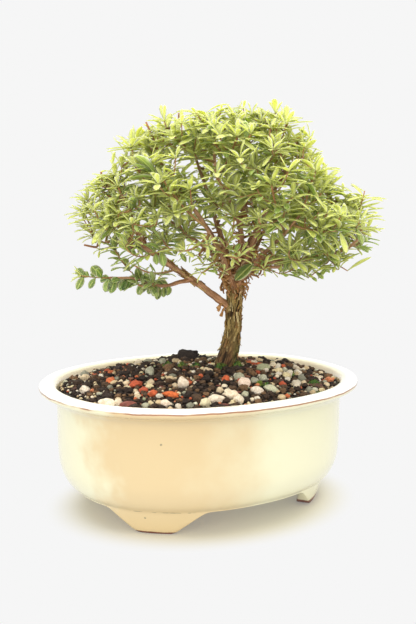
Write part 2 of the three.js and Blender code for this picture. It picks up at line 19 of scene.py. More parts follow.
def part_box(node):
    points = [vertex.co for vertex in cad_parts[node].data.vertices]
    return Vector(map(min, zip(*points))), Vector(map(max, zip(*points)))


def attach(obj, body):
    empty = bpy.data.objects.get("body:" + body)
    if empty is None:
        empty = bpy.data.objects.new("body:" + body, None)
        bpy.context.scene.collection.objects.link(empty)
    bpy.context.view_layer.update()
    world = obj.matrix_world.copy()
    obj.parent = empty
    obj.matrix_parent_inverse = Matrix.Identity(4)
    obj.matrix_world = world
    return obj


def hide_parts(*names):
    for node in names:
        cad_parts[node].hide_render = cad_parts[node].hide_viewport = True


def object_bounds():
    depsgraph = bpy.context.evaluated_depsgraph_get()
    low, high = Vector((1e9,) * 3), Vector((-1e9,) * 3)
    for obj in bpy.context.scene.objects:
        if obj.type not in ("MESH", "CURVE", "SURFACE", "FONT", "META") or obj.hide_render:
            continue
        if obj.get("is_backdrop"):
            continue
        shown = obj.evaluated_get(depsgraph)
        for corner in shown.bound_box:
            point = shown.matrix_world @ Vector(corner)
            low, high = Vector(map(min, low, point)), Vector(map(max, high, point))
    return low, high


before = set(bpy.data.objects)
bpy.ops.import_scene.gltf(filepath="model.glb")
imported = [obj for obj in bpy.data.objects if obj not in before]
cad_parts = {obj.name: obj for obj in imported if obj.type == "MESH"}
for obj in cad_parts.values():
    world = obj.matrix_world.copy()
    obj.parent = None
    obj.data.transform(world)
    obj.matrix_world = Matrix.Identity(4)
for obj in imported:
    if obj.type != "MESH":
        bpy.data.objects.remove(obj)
cad_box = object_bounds()

LOG = logging.getLogger("bonsai")
MM = 0.001
GOLDEN_ANGLE = math.pi * (3 - math.sqrt(5))

Array = np.ndarray
Point = tuple[float, float, float]
Colour = Point
Span = tuple[float, float]
Face = tuple[int, ...]
Radius = Callable[[float, float, Array], float]

UP = np.array([0.0, 0.0, 1.0])
AWAY = np.array([0.0, 1.0, 0.0])
LEVEL = np.array([1.0, 1.0, 0.0])


def draw(item: float, series: float) -> float:
    """Repeatable draw, from 0 up to 1, for the number of a thing and the number of its drawn quality."""
    value = math.sin(item * 12.9898 + series * 78.233) * 43758.5453
    return value - math.floor(value)


def mix(low: float | Array, high: float | Array, share: float | Array) -> float | Array:
    """Value at a share of the way from low to high."""
    return low + (high - low) * share


def clamped(value: float) -> float:
    """The value, kept between 0 and 1."""
    return min(1.0, max(0.0, value))


def unit(vector: Array) -> Array:
    """The vector at length one."""
    return vector / max(float(np.linalg.norm(vector)), 1e-12)


def turned(vectors: Array, axis: Array, angle: float) -> Array:
    """One vector or rows of them, turned about an axis of length one by an angle in radians."""
    level = vectors * math.cos(angle) + np.cross(axis, vectors) * math.sin(angle)
    return level + (vectors @ axis)[..., None] * axis * (1 - math.cos(angle))


def facing(along: Array, way: Array) -> Array:
    """Direction of length one that is square to a first one and as near as can be to a second."""
    return unit(np.cross(np.cross(along, way), along))


def nearest_to(points: Array, place: Array) -> Array:
    """The one of a set's points that is nearest to a place."""
    return points[int(np.argmin(np.linalg.norm(points - place, axis=1)))]


def shade(hex_code: str) -> Colour:
    """Linear red, green and blue, from 0 to 1, of a colour's hex code on a screen."""
    parts = (int(hex_code[n:n + 2], 16) / 255 for n in (0, 2, 4))
    return tuple(p / 12.92 if p <= 0.04045 else ((p + 0.055) / 1.055) ** 2.4 for p in parts)


def shades(*hex_codes: str) -> tuple[Colour, ...]:
    """Linear colours of several hex codes."""
    return tuple(shade(code) for code in hex_codes)


def middle_of(node: str) -> Array:
    """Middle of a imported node's box, in millimetres."""
    low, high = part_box(node)
    return (np.array(low) + np.array(high)) / 2 / MM


POT_CENTRE = middle_of("pot") * LEVEL
TREE_TURN = math.radians(-30.4)
TREE_RIGHT = np.array([math.cos(TREE_TURN), math.sin(TREE_TURN), 0.0])
TREE_AWAY = np.array([-math.sin(TREE_TURN), math.cos(TREE_TURN), 0.0])


def from_tree(points: Array) -> Array:
    """Points of the tree's turned frame as points of the pot's frame."""
    points = np.asarray(points, float)
    return points[..., :1] * TREE_RIGHT + points[..., 1:2] * TREE_AWAY + points[..., 2:3] * UP


class Curve:
    """A curve in space that is walked by its length."""

    divisions = 200
    nudge = 0.004

    def __init__(self, at: Callable[[float], Array]) -> None:
        """Measures the curve.

        Args:
            at: Gives the curve's point for a value from 0 to 1.
        """
        self.at = at
        self.values = np.linspace(0, 1, self.divisions + 1)
        self.samples = np.array([at(t) for t in self.values])
        steps = np.linalg.norm(np.diff(self.samples, axis=0), axis=1)
        self.lengths = np.concatenate([[0.0], np.cumsum(steps)])
        self.length = float(self.lengths[-1])

    def value(self, share: float) -> float:
        """The curve's own value at a share of its length."""
        return float(np.interp(share * self.length, self.lengths, self.values))

    def point(self, share: float) -> Array:
        """Point at a share of the curve's length."""
        return self.at(self.value(share))

    def points(self, count: int) -> Array:
        """Evenly spaced points, with both ends: count steps, and so count + 1 points."""
        return np.array([self.point(i / count) for i in range(count + 1)])

    def heading(self, share: float) -> Array:
        """Direction of the curve at a share of its length."""
        return unit(self.point(min(1.0, share + self.nudge)) - self.point(max(0.0, share - self.nudge)))

    def frame(self, share: float) -> "Frame":
        """Frame of the curve at a share of its length."""
        return frames_along(self, [share])[0]


def bow(start: Array, bend: Array, end: Array) -> Curve:
    """Curve from start to end that is drawn towards a bend between them."""
    return Curve(lambda t: (1 - t) ** 2 * start + 2 * t * (1 - t) * bend + t * t * end)


def through(path: Sequence[Sequence[float]]) -> Curve:
    """Smooth curve through the points of a path, with even tension at unlike spacings.

    Args:
        path: The points.

    Returns:
        The curve, which has each point at an even step of its own value.
    """
    pins = np.array(path, float)
    pins = np.vstack([2 * pins[0] - pins[1], pins, 2 * pins[-1] - pins[-2]])
    gaps = np.linalg.norm(np.diff(pins, axis=0), axis=1) ** 0.5

    def at(t: float) -> Array:
        """Point of the stretch that a value falls on."""
        place = t * (len(path) - 1)
        i = min(int(place), len(path) - 2)
        share = place - i
        a, b, c, d = pins[i:i + 4]
        before, here, after = gaps[i:i + 3]
        leave = ((b - a) / before - (c - a) / (before + here) + (c - b) / here) * here
        arrive = ((c - b) / here - (d - b) / (here + after) + (d - c) / after) * here
        return (b + leave * share + (-3 * b + 3 * c - 2 * leave - arrive) * share ** 2
                + (2 * b - 2 * c + leave + arrive) * share ** 3)

    return Curve(at)


@dataclass
class Frame:
    """A place on a stem, with its direction and two directions across it."""

    centre: Array
    axis: Array
    side: Array
    across: Array

    def out(self, angle: float) -> Array:
        """Direction away from the stem at an angle round it."""
        return self.side * math.cos(angle) + self.across * math.sin(angle)


def frames_along(curve: Curve, shares: Iterable[float]) -> list[Frame]:
    """Frames along a curve that turn as little as they can from one to the next.

    Args:
        curve: The curve.
        shares: The shares of its length that they lie at.

    Returns:
        A frame for each share.
    """
    frames: list[Frame] = []
    for share in shares:
        axis = curve.heading(share)
        if frames:
            side = frames[-1].side - axis * float(frames[-1].side @ axis)
        else:
            side = np.cross(axis, np.eye(3)[int(np.argmin(np.abs(axis)))])
        side = unit(side)
        frames.append(Frame(curve.point(share), axis, side, np.cross(axis, side)))
    return frames


@dataclass
class Skin:
    """Points, faces and colours gathered for one mesh."""

    points: list[Array] = field(default_factory=list)
    tints: list[Array] = field(default_factory=list)
    places: list[Array] = field(default_factory=list)
    faces: list[Face] = field(default_factory=list)
    finishes: list[int] = field(default_factory=list)
    count: int = 0

    def add(self, points: Array, faces: Iterable[Face], tint: Array | Colour = (1, 1, 1),
            places: Array | None = None, finish: int | Sequence[int] = 0) -> None:
        """Adds a closed body.

        Args:
            points: Its corner points, in millimetres.
            faces: The corners of each face, counted from the body's first point.
            tint: One colour for the body, or one for each point.
            places: Where each point lies on the finish's own pattern, as two numbers.
            finish: Number of the body's material, or one for each face.
        """
        start = self.count
        number = len(points)
        self.points.append(np.asarray(points, float))
        self.tints.append(np.broadcast_to(np.asarray(tint, float), (number, 3)))
        self.places.append(np.zeros((number, 2)) if places is None else places)
        added = [tuple(start + corner for corner in face) for face in faces]
        self.faces.extend(added)
        self.finishes.extend([finish] * len(added) if isinstance(finish, int) else finish)
        self.count += number

    def tube(self, line: Curve, steps: int, sides: int, radius: Radius, tint: Colour,
             end_tint: Colour | None = None, fade: float = 1.0, finish: int = 0, of_tree: bool = True) -> None:
        """Adds a closed tube along a curve.

        Args:
            line: The line that it follows.
            steps: Number of stretches along it.
            sides: Number of sides round it.
            radius: Gives the radius, as tube_body says.
            tint: Its colour, or its colour at the start.
            end_tint: Its colour at the end, where that is another.
            fade: More than 1 where the end's colour comes late.
            finish: Number of its material.
            of_tree: Whether the line is given in the tree's frame.
        """
        points, faces, places = tube_body(line, steps, sides, radius)
        tints = tint if end_tint is None else mix(np.array(tint), np.array(end_tint), places[:, :1] ** fade)
        self.add(from_tree(points) if of_tree else points, faces, tints, places, finish)

    def build(self, name: str, materials: Sequence[bpy.types.Material]) -> bpy.types.Object:
        """Makes the mesh, smooth shaded, in the row's frame.

        Args:
            name: Name of the new object.
            materials: Its finishes, in the order that the bodies count them.

        Returns:
            The object, linked to the scene.
        """
        mesh = bpy.data.meshes.new(name)
        places = (np.vstack(self.points) + POT_CENTRE) * MM
        mesh.from_pydata(places.tolist(), [], self.faces)
        mesh.polygons.foreach_set("use_smooth", [True] * len(mesh.polygons))
        mesh.polygons.foreach_set("material_index", self.finishes)
        for material in materials:
            mesh.materials.append(material)
        tint = mesh.color_attributes.new("tint", "FLOAT_COLOR", "POINT")
        rows = np.hstack([np.vstack(self.tints), np.ones((self.count, 1))])
        tint.data.foreach_set("color", rows.astype(np.float32).ravel())
        corners = np.zeros(len(mesh.loops), int)
        mesh.loops.foreach_get("vertex_index", corners)
        layer = mesh.uv_layers.new(name="place")
        layer.data.foreach_set("uv", np.vstack(self.places)[corners].astype(np.float32).ravel())
        mesh.update()
        thing = bpy.data.objects.new(name, mesh)
        bpy.context.scene.collection.objects.link(thing)
        return thing


def taper(start: float, end: float) -> Radius:
    """Radius that changes evenly from one end of a tube to the other."""
    return lambda share, *_: mix(start, end, share)


def ring_faces(rings: int, sides: int) -> list[Face]:
    """Quads between rings of points that run anticlockwise as seen from the last ring."""
    lows = [(r * sides + i, r * sides + (i + 1) % sides) for r in range(rings - 1) for i in range(sides)]
    return [(low, next_low, sides + next_low, sides + low) for low, next_low in lows]


def closed_faces(rings: int, sides: int) -> list[Face]:
    """Faces of a closed body: its rings of points, and a fan at each end.

    Args:
        rings: Number of rings.
        sides: Number of points in each. The middle points of the two ends come after the last ring.

    Returns:
        The corners of each face.
    """
    faces = ring_faces(rings, sides)
    foot, last = rings * sides, (rings - 1) * sides
    for i in range(sides):
        j = (i + 1) % sides
        faces += [(foot, j, i), (foot + 1, last + i, last + j)]
    return faces


def tube_body(curve: Curve, steps: int, sides: int, radius: Radius) -> tuple[Array, list[Face], Array]:
    """Closed tube along a curve.

    Args:
        curve: The line that it follows.
        steps: Number of stretches along it.
        sides: Number of sides round it.
        radius: Gives the radius for the share of the length, the angle, and the point that lies one
            millimetre out from the line there.

    Returns:
        The points, the faces, and for each point the share along and round the tube.
    """
    shares = np.linspace(0, 1, steps + 1)
    angles = np.arange(sides) * 2 * math.pi / sides
    points, places = [], []
    for share, spot in zip(shares, frames_along(curve, shares)):
        for angle in angles:
            out = spot.out(angle)
            points.append(spot.centre + out * radius(share, angle, spot.centre + out))
            places.append((share, angle / (2 * math.pi)))
    points += [curve.point(0), curve.point(1)]
    places += [(0, 0.5), (1, 0.5)]
    return np.array(points), closed_faces(steps + 1, sides), np.array(places)


class Value:
    """What a node puts out, which can be added, subtracted and multiplied like a number."""

    def __init__(self, nodes: "Nodes", socket: bpy.types.NodeSocket) -> None:
        """Keeps the socket, and the nodes that its sums are built with."""
        self.nodes, self.socket = nodes, socket

    def __add__(self, other: object) -> "Value":
        """Sum of this and another value."""
        return self.nodes.math("ADD", self, other)

    def __sub__(self, other: object) -> "Value":
        """This less another value."""
        return self.nodes.math("SUBTRACT", self, other)

    def __rsub__(self, other: float) -> "Value":
        """A number less this."""
        return self.nodes.math("SUBTRACT", other, self)

    def __mul__(self, other: object) -> "Value":
        """Product of this and another value."""
        return self.nodes.math("MULTIPLY", self, other)

    def __abs__(self) -> "Value":
        """This without its sign."""
        return self.nodes.math("ABSOLUTE", self)


class Nodes:
    """A node tree that is being built."""

    def __init__(self, tree: bpy.types.NodeTree) -> None:
        """Keeps the tree that the nodes go into."""
        self.tree = tree

    def add(self, kind: str, inputs: dict[int | str, object], **settings: object) -> bpy.types.Node:
        """Adds a node.

        Args:
            kind: Its kind, such as Math.
            inputs: What each of its inputs is fed with, by name or number.
            settings: Its settings.

        Returns:
            The node.
        """
        node = self.tree.nodes.new(f"ShaderNode{kind}")
        for name, value in settings.items():
            setattr(node, name, value)
        self.feed(node, inputs)
        return node

    def feed(self, node: bpy.types.Node, inputs: dict[int | str, object]) -> None:
        """Fills a node's inputs.

        Args:
            node: The node.
            inputs: For each input a value, which is linked, or a plain number or colour, which is set there.
        """
        for name, entry in inputs.items():
            socket = node.inputs[name]
            if isinstance(entry, Value):
                self.tree.links.new(entry.socket, socket)
            elif isinstance(entry, tuple) and socket.type == "RGBA":
                socket.default_value = (*entry, 1)
            else:
                socket.default_value = entry

    def value(self, kind: str, inputs: dict[int | str, object], output: int | str = 0,
              **settings: object) -> Value:
        """One output of a new node, which is added as in add."""
        return Value(self, self.add(kind, inputs, **settings).outputs[output])

    def math(self, operation: str, a: object, b: object = 0.0) -> Value:
        """Result of a sum, product or the like of two values."""
        return self.value("Math", {0: a, 1: b}, operation=operation)

    def measure(self, operation: str, a: object, b: object = (0.0, 0.0, 0.0)) -> Value:
        """A length, distance or the like of two vectors."""
        return self.value("VectorMath", {0: a, 1: b}, "Value", operation=operation)

    def ramp(self, value: object, low: object, high: object) -> Value:
        """Value from 0 at low to 1 at high, with soft ends."""
        return self.value("MapRange", {0: value, 1: low, 2: high}, interpolation_type="SMOOTHSTEP")

    def blend(self, share: object, low: object, high: object) -> Value:
        """Colour at a share of the way from low to high."""
        return self.value("Mix", {"Factor": share, 6: low, 7: high}, 2, data_type="RGBA")

    def noise(self, scale: object, detail: float = 4.0, where: Value | None = None,
              rough: float = 0.55) -> Value:
        """Cloudy value between 0 and 1, in the object's own space unless another is given."""
        return self.value("TexNoise", {"Vector": where or self.space(), "Scale": scale, "Detail": detail,
                                       "Roughness": rough})

    def space(self) -> Value:
        """Place of the shaded point in the object's own space."""
        return self.value("TexCoord", {}, "Object")

    def parts(self, vector: Value) -> list[Value]:
        """The three numbers of a vector."""
        return [Value(self, socket) for socket in self.add("SeparateXYZ", {0: vector}).outputs]

    def place(self) -> list[Value]:
        """The two numbers that say where a point lies on its piece, and a third that is zero."""
        return self.parts(self.value("UVMap", {}, uv_map="place"))

    def tint(self) -> Value:
        """Colour that the mesh gives at each point."""
        return self.value("VertexColor", {}, layer_name="tint")

    def bump(self, height: Value, depth: float, strength: float = 1.0, normal: Value | None = None) -> Value:
        """Normal of a surface that a height from 0 to 1 raises by a depth in metres, on top of another."""
        inputs = {"Strength": strength, "Distance": depth, "Height": height}
        return self.value("Bump", inputs if normal is None else inputs | {"Normal": normal})

    def group(self, effect: "Effect", **values: object) -> dict[str, Value]:
        """Places a shared effect, fed with the given values, and returns its outputs by name."""
        fed = {name.capitalize(): value for name, value in values.items()}
        outputs = self.add("Group", fed, node_tree=effect.tree()).outputs
        return {socket.name: Value(self, socket) for socket in outputs}


class Effect:
    """A shader effect that several finishes use, built once as a node group."""

    name = "Effect"
    inputs: dict[str, tuple[str, object]] = {}
    outputs: dict[str, str] = {}

    def tree(self) -> bpy.types.NodeTree:
        """The effect as a node group.

        Returns:
            The group, made at its first use.
        """
        known = bpy.data.node_groups.get(self.name)
        if known is not None:
            return known
        tree = bpy.data.node_groups.new(self.name, "ShaderNodeTree")
        for name, (kind, value) in self.inputs.items():
            socket = tree.interface.new_socket(name=name, in_out="INPUT", socket_type=kind)
            socket.default_value = (*value, 1) if kind == "NodeSocketColor" else value
        for name, kind in self.outputs.items():
            tree.interface.new_socket(name=name, in_out="OUTPUT", socket_type=kind)
        nodes = Nodes(tree)
        source = tree.nodes.new("NodeGroupInput")
        given = {name: Value(nodes, source.outputs[name]) for name in self.inputs}
        nodes.feed(tree.nodes.new("NodeGroupOutput"), self.draw(nodes, given))
        return tree

    def draw(self, nodes: Nodes, given: dict[str, Value]) -> dict[str, Value]:
        """Builds the effect's nodes.

        Args:
            nodes: The group's nodes.
            given: The group's inputs by name.

        Returns:
            What each output is fed with.
        """
        raise NotImplementedError


class Mottle(Effect):
    """Cloudy change of a colour, with fine grit in it."""

    name = "Mottle"
    inputs = {
        "Colour": ("NodeSocketColor", (0.5, 0.5, 0.5)),
        "Deep": ("NodeSocketColor", (0.2, 0.2, 0.2)),
        "Scale": ("NodeSocketFloat", 300.0),
        "Amount": ("NodeSocketFloat", 0.5),
    }
    outputs = {"Colour": "NodeSocketColor", "Height": "NodeSocketFloat"}
    grit_scale = 4.0
    grit_share = 0.35

    def draw(self, nodes: Nodes, given: dict[str, Value]) -> dict[str, Value]:
        """Clouds at the given scale, with finer grit, as Effect.draw says."""
        clouds = nodes.noise(given["Scale"])
        grit = nodes.noise(given["Scale"] * self.grit_scale, detail=2.0)
        both = clouds * (1 - self.grit_share) + grit * self.grit_share
        share = nodes.ramp(both, 0.62, 0.38) * given["Amount"]
        return {"Colour": nodes.blend(share, given["Colour"], given["Deep"]), "Height": both}


class Streaks(Effect):
    """Fine lines that run along a stem, from the place that its mesh gives each point."""

    name = "Streaks"
    inputs = {
        "Along": ("NodeSocketFloat", 14.0),
        "Around": ("NodeSocketFloat", 60.0),
    }
    outputs = {"Height": "NodeSocketFloat"}
    scale = 0.16

    def draw(self, nodes: Nodes, given: dict[str, Value]) -> dict[str, Value]:
        """Noise on the stem's own places, drawn out along it, as Effect.draw says."""
        along, around, _ = nodes.place()
        turn = around * (2 * math.pi)
        x, y = (nodes.math(wave, turn) * given["Around"] for wave in ("COSINE", "SINE"))
        where = nodes.value("CombineXYZ", {0: x, 1: y, 2: along * given["Along"]})
        return {"Height": nodes.noise(self.scale, detail=5.0, where=where, rough=0.7)}


class Spot(Effect):
    """Mask of one small ragged spot at a place on the surface."""

    name = "Spot"
    inputs = {
        "Centre": ("NodeSocketVector", (0.0, 0.0, 0.0)),
        "Radius": ("NodeSocketFloat", 0.001),
    }
    outputs = {"Mask": "NodeSocketFloat"}
    ragged_scale = 1500.0
    soft_edge = 1.7

    def draw(self, nodes: Nodes, given: dict[str, Value]) -> dict[str, Value]:
        """Distance from the centre, made uneven by noise, as Effect.draw says."""
        radius = given["Radius"]
        gap = nodes.measure("DISTANCE", nodes.space(), given["Centre"])
        reach = gap + nodes.noise(self.ragged_scale) * radius
        return {"Mask": nodes.ramp(reach, radius * self.soft_edge, radius)}


@dataclass(frozen=True)
class Finish:
    """A surface of the bonsai: its name, its gloss and what its colour and normal are made of."""

    name: str
    roughness: float = 0.6
    specular: float = 0.5

    def material(self) -> bpy.types.Material:
        """The finish as a new material.

        Returns:
            The material.
        """
        made = bpy.data.materials.new(self.name)
        made.use_nodes = True
        nodes = Nodes(made.node_tree)
        shader = made.node_tree.nodes["Principled BSDF"]
        nodes.feed(shader, {"Roughness": self.roughness, "Specular IOR Level": self.specular})
        nodes.feed(shader, self.dress(nodes))
        return made

    def dress(self, nodes: Nodes) -> dict[str, object]:
        """Builds the finish's own colours and relief.

        Args:
            nodes: The material's nodes.

        Returns:
            What the shader's inputs are fed with.
        """
        raise NotImplementedError


@dataclass(frozen=True)
class Glaze(Finish):
    """Thick cream glaze that runs thin over the lip's edge, with bare clay under the feet, a painted highlight
    along the lip's crest and painted shade on the inner wall.

    The mesh gives the way down the wall from the lip's crest, in decimetres, as its second place. The
    widths and levels of the lip are in that measure, and all else is in metres.
    """

    name: str = "cream_glaze"
    roughness: float = 0.16
    peach: Colour = shade("dbc394")
    straw: Colour = shade("e6e2bf")
    # Painted highlight: near-white for the top of the lip, which the light from above makes bright.
    painted_lip_highlight: Colour = shade("fffaf0")
    # Painted shade: the darker beige of the inner wall, which lies in shade.
    lining: Colour = shade("d9c8a4")
    clay: Colour = shade("7d402a")
    deep_clay: Colour = shade("5c2f1d")
    edge_line: Colour = shade("985a34")
    ash: Colour = shade("8b8467")
    kiln_side: Point = (0.8625, -0.506, 0.0)
    kiln_front: Point = (-0.506, -0.8625, 0.0)
    peach_ends: tuple[float, float, float, float] = (-0.073, -0.052, -0.01, 0.05)
    peach_depth: Span = (-0.03, 0.02)
    lip_highlight_width: float = 0.034
    lip_highlight_inside: float = -0.01
    line_at: float = 0.043
    line_width: float = 0.0075
    inner_from: float = -0.05
    inner_shade_fade: float = 0.03
    bare_height: float = 0.0011
    bare_right: Span = (0.0, 0.045)
    joint_height: float = 0.0141
    joint_centre: Point = (-0.0555, -0.0476, 0.0141)
    joint_reach: float = 0.021
    specks: tuple[tuple[float, float, float, float], ...] = ()
    line_strength: float = 0.9
    joint_strength: float = 0.75
    speck_strength: float = 0.85
    relief: float = 0.0006

    def dress(self, nodes: Nodes) -> dict[str, object]:
        """Body colour, painted highlight on the crest, brown line, painted shade on the inner wall, specks and
        bare foot ends, as Finish.dress says.
        """
        _, down, _ = nodes.place()
        wave = nodes.noise(38.0, detail=3.0)
        level = down + (nodes.noise(70.0) - 0.5) * 0.014
        # Painted highlight: the white band along the lip's crest.
        crest = (nodes.ramp(level, self.line_at, self.lip_highlight_width)
                 * nodes.ramp(down, self.inner_from, self.lip_highlight_inside))
        # Painted shade: the lining colour over the inner wall below the lip.
        inside = nodes.ramp(level, self.inner_from, self.inner_from - self.inner_shade_fade)
        breaks = nodes.ramp(nodes.noise(40.0, detail=2.0), 0.30, 0.52)
        line = nodes.ramp(abs(level - self.line_at), self.line_width, 0.001) * breaks
        joint = self.joint(nodes)
        bare = self.bare(nodes)
        grit = nodes.group(Mottle(), colour=self.clay, deep=self.deep_clay, scale=900.0, amount=0.7)
        layers = [(crest, self.painted_lip_highlight), (inside, self.lining), (line * self.line_strength, self.edge_line),
                  (joint * self.joint_strength, self.ash)]
        for *centre, radius in self.specks:
            mask = nodes.group(Spot(), centre=tuple(centre), radius=radius)["Mask"]
            layers.append((mask * self.speck_strength, self.ash))
        colour = self.body(nodes, wave)
        for mask, top in [*layers, (bare, grit["Colour"])]:
            colour = nodes.blend(mask, colour, top)
        ripple = nodes.bump(nodes.noise(120.0, detail=2.0), self.relief, 0.22)
        pits = nodes.bump(1.0 - nodes.math("MAXIMUM", joint, line), self.relief, 0.5, ripple)
        rough = nodes.math("MAXIMUM", wave * 0.12 + (self.roughness - 0.06), bare * 0.9)
        return {"Base Color": colour, "Roughness": rough, "Normal": pits, "Coat Weight": 0.5,
                "Coat Roughness": 0.06}

    def body(self, nodes: Nodes, wave: Value) -> Value:
        """Colour of the wall: straw, with a peach patch on the side that faced the kiln's fire.

        Args:
            nodes: The material's nodes.
            wave: Broad clouds, from 0 to 1.

        Returns:
            The colour.
        """
        drift = (nodes.noise(13.0, detail=2.0) - 0.5) * 0.05 + (wave - 0.5) * 0.05
        side, front = (nodes.measure("DOT_PRODUCT", nodes.space(), heading) + drift
                       for heading in (self.kiln_side, self.kiln_front))
        left_end, left, right, right_end = self.peach_ends
        patch = nodes.ramp(side, left_end, left) * nodes.ramp(side, right_end, right)
        return nodes.blend(patch * nodes.ramp(front, *self.peach_depth), self.straw, self.peach)

    def bare(self, nodes: Nodes) -> Value:
        """Mask of the bare clay at the feet's ends, which reaches higher on the right.

        Args:
            nodes: The material's nodes.

        Returns:
            The mask.
        """
        x, _, z = nodes.parts(nodes.space())
        right = nodes.ramp(x, *self.bare_right) * (self.bare_height * 2.2)
        top = right + self.bare_height * 1.9
        return nodes.ramp(z + nodes.noise(420.0) * self.bare_height, top, top - self.bare_height * 0.5)

    def joint(self, nodes: Nodes) -> Value:
        """Mask of the thin broken line where the near left foot was joined on.

        Args:
            nodes: The material's nodes.

        Returns:
            The mask.
        """
        *_, z = nodes.parts(nodes.space())
        off = abs(z + (nodes.noise(60.0) - 0.5) * 0.004 - self.joint_height)
        gap = nodes.measure("DISTANCE", nodes.space(), self.joint_centre)
        near = nodes.ramp(gap, self.joint_reach, self.joint_reach * 0.8)
        broken = nodes.ramp(nodes.noise(140.0, detail=2.0), 0.42, 0.5)
        return nodes.ramp(off, 0.0004, 0.0001) * near * broken


@dataclass(frozen=True)
class Grain(Finish):
    """Stone, soil or brick: the mesh's own tint, clouded and gritty."""

    deep: Colour = (0.02, 0.015, 0.01)
    scale: float = 500.0
    amount: float = 0.5
    relief: float = 0.0005

    def dress(self, nodes: Nodes) -> dict[str, object]:
        """Clouds of a deeper colour and a rough face, as Finish.dress says."""
        face = nodes.group(Mottle(), colour=nodes.tint(), deep=self.deep, scale=self.scale, amount=self.amount)
        return {"Base Color": face["Colour"], "Normal": nodes.bump(face["Height"], self.relief, 0.8)}


@dataclass(frozen=True)
class Bark(Finish):
    """Stringy bark: the mesh's own tint, darker in the cracks that run along the wood."""

    along: float = 14.0
    around: float = 60.0
    deep: Colour = shade("2c2013")
    ridge: Colour = shade("b79a5c")
    ridge_share: float = 0.5
    relief: float = 0.0008
    grit_scale: float = 420.0
    grit_relief: float = 0.3

    def dress(self, nodes: Nodes) -> dict[str, object]:
        """Cracks, pale ridges and fine grit, as Finish.dress says."""
        lines = nodes.group(Streaks(), along=self.along, around=self.around)["Height"]
        face = nodes.group(Mottle(), colour=nodes.tint(), deep=self.deep, scale=self.grit_scale, amount=0.45)
        colour = nodes.blend(nodes.ramp(lines, 0.52, 0.36), face["Colour"], self.deep)
        colour = nodes.blend(nodes.ramp(lines, 0.55, 0.68) * self.ridge_share, colour, self.ridge)
        height = lines + face["Height"] * self.grit_relief
        return {"Base Color": colour, "Normal": nodes.bump(height, self.relief, 0.9)}


@dataclass(frozen=True)
class Blade(Finish):
    """Face of a leaf: the mesh's own tint, with a pale margin, a rib and side veins.

    The mesh gives the way across the leaf, from 0 to 1, and the way along it.
    """

    roughness: float = 0.42
    margin: float = 0.75
    rib: float = 0.5
    edge: Colour = shade("dbe08c")
    cloud: Colour = shade("7a8a3a")
    glow_through: float = 0.85
    glow_radius: Colour = (1.0, 1.0, 0.6)
    glow_depth: float = 0.002
    vein_slant: float = 0.16
    vein_count: float = 42.0
    vein_relief: float = 0.25

    def dress(self, nodes: Nodes) -> dict[str, object]:
        """Margin, rib, veins, clouding, and light that passes through, as Finish.dress says."""
        across, along, _ = nodes.place()
        off = abs(across - 0.5) * 2.0
        face = nodes.group(Mottle(), colour=nodes.tint(), deep=self.cloud, scale=260.0, amount=0.3)
        rib = nodes.ramp(off, 0.16, 0.02) * self.rib
        margin = nodes.ramp(off, 0.62, 0.95) * self.margin
        colour = nodes.blend(margin, nodes.blend(rib, face["Colour"], self.edge), self.edge)
        veins = nodes.math("SINE", (along - off * self.vein_slant) * self.vein_count)
        relief = nodes.bump(veins * self.vein_relief - rib, 0.0002, 0.6)
        return {"Base Color": colour, "Normal": relief, "Roughness": off * 0.12 + self.roughness,
                "Subsurface Weight": self.glow_through, "Subsurface Radius": self.glow_radius,
                "Subsurface Scale": self.glow_depth}


@dataclass
class Piece:
    """A sub-assembly of the bonsai that ends as one or more objects."""

    def dress(self, thing: bpy.types.Object, slot: str, *nodes: str) -> None:
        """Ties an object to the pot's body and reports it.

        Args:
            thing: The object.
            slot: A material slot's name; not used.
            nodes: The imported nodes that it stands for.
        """
        if nodes:
            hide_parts(*nodes)
        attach(thing, "root")
        LOG.info("%s: %d faces", thing.name, len(thing.data.polygons))


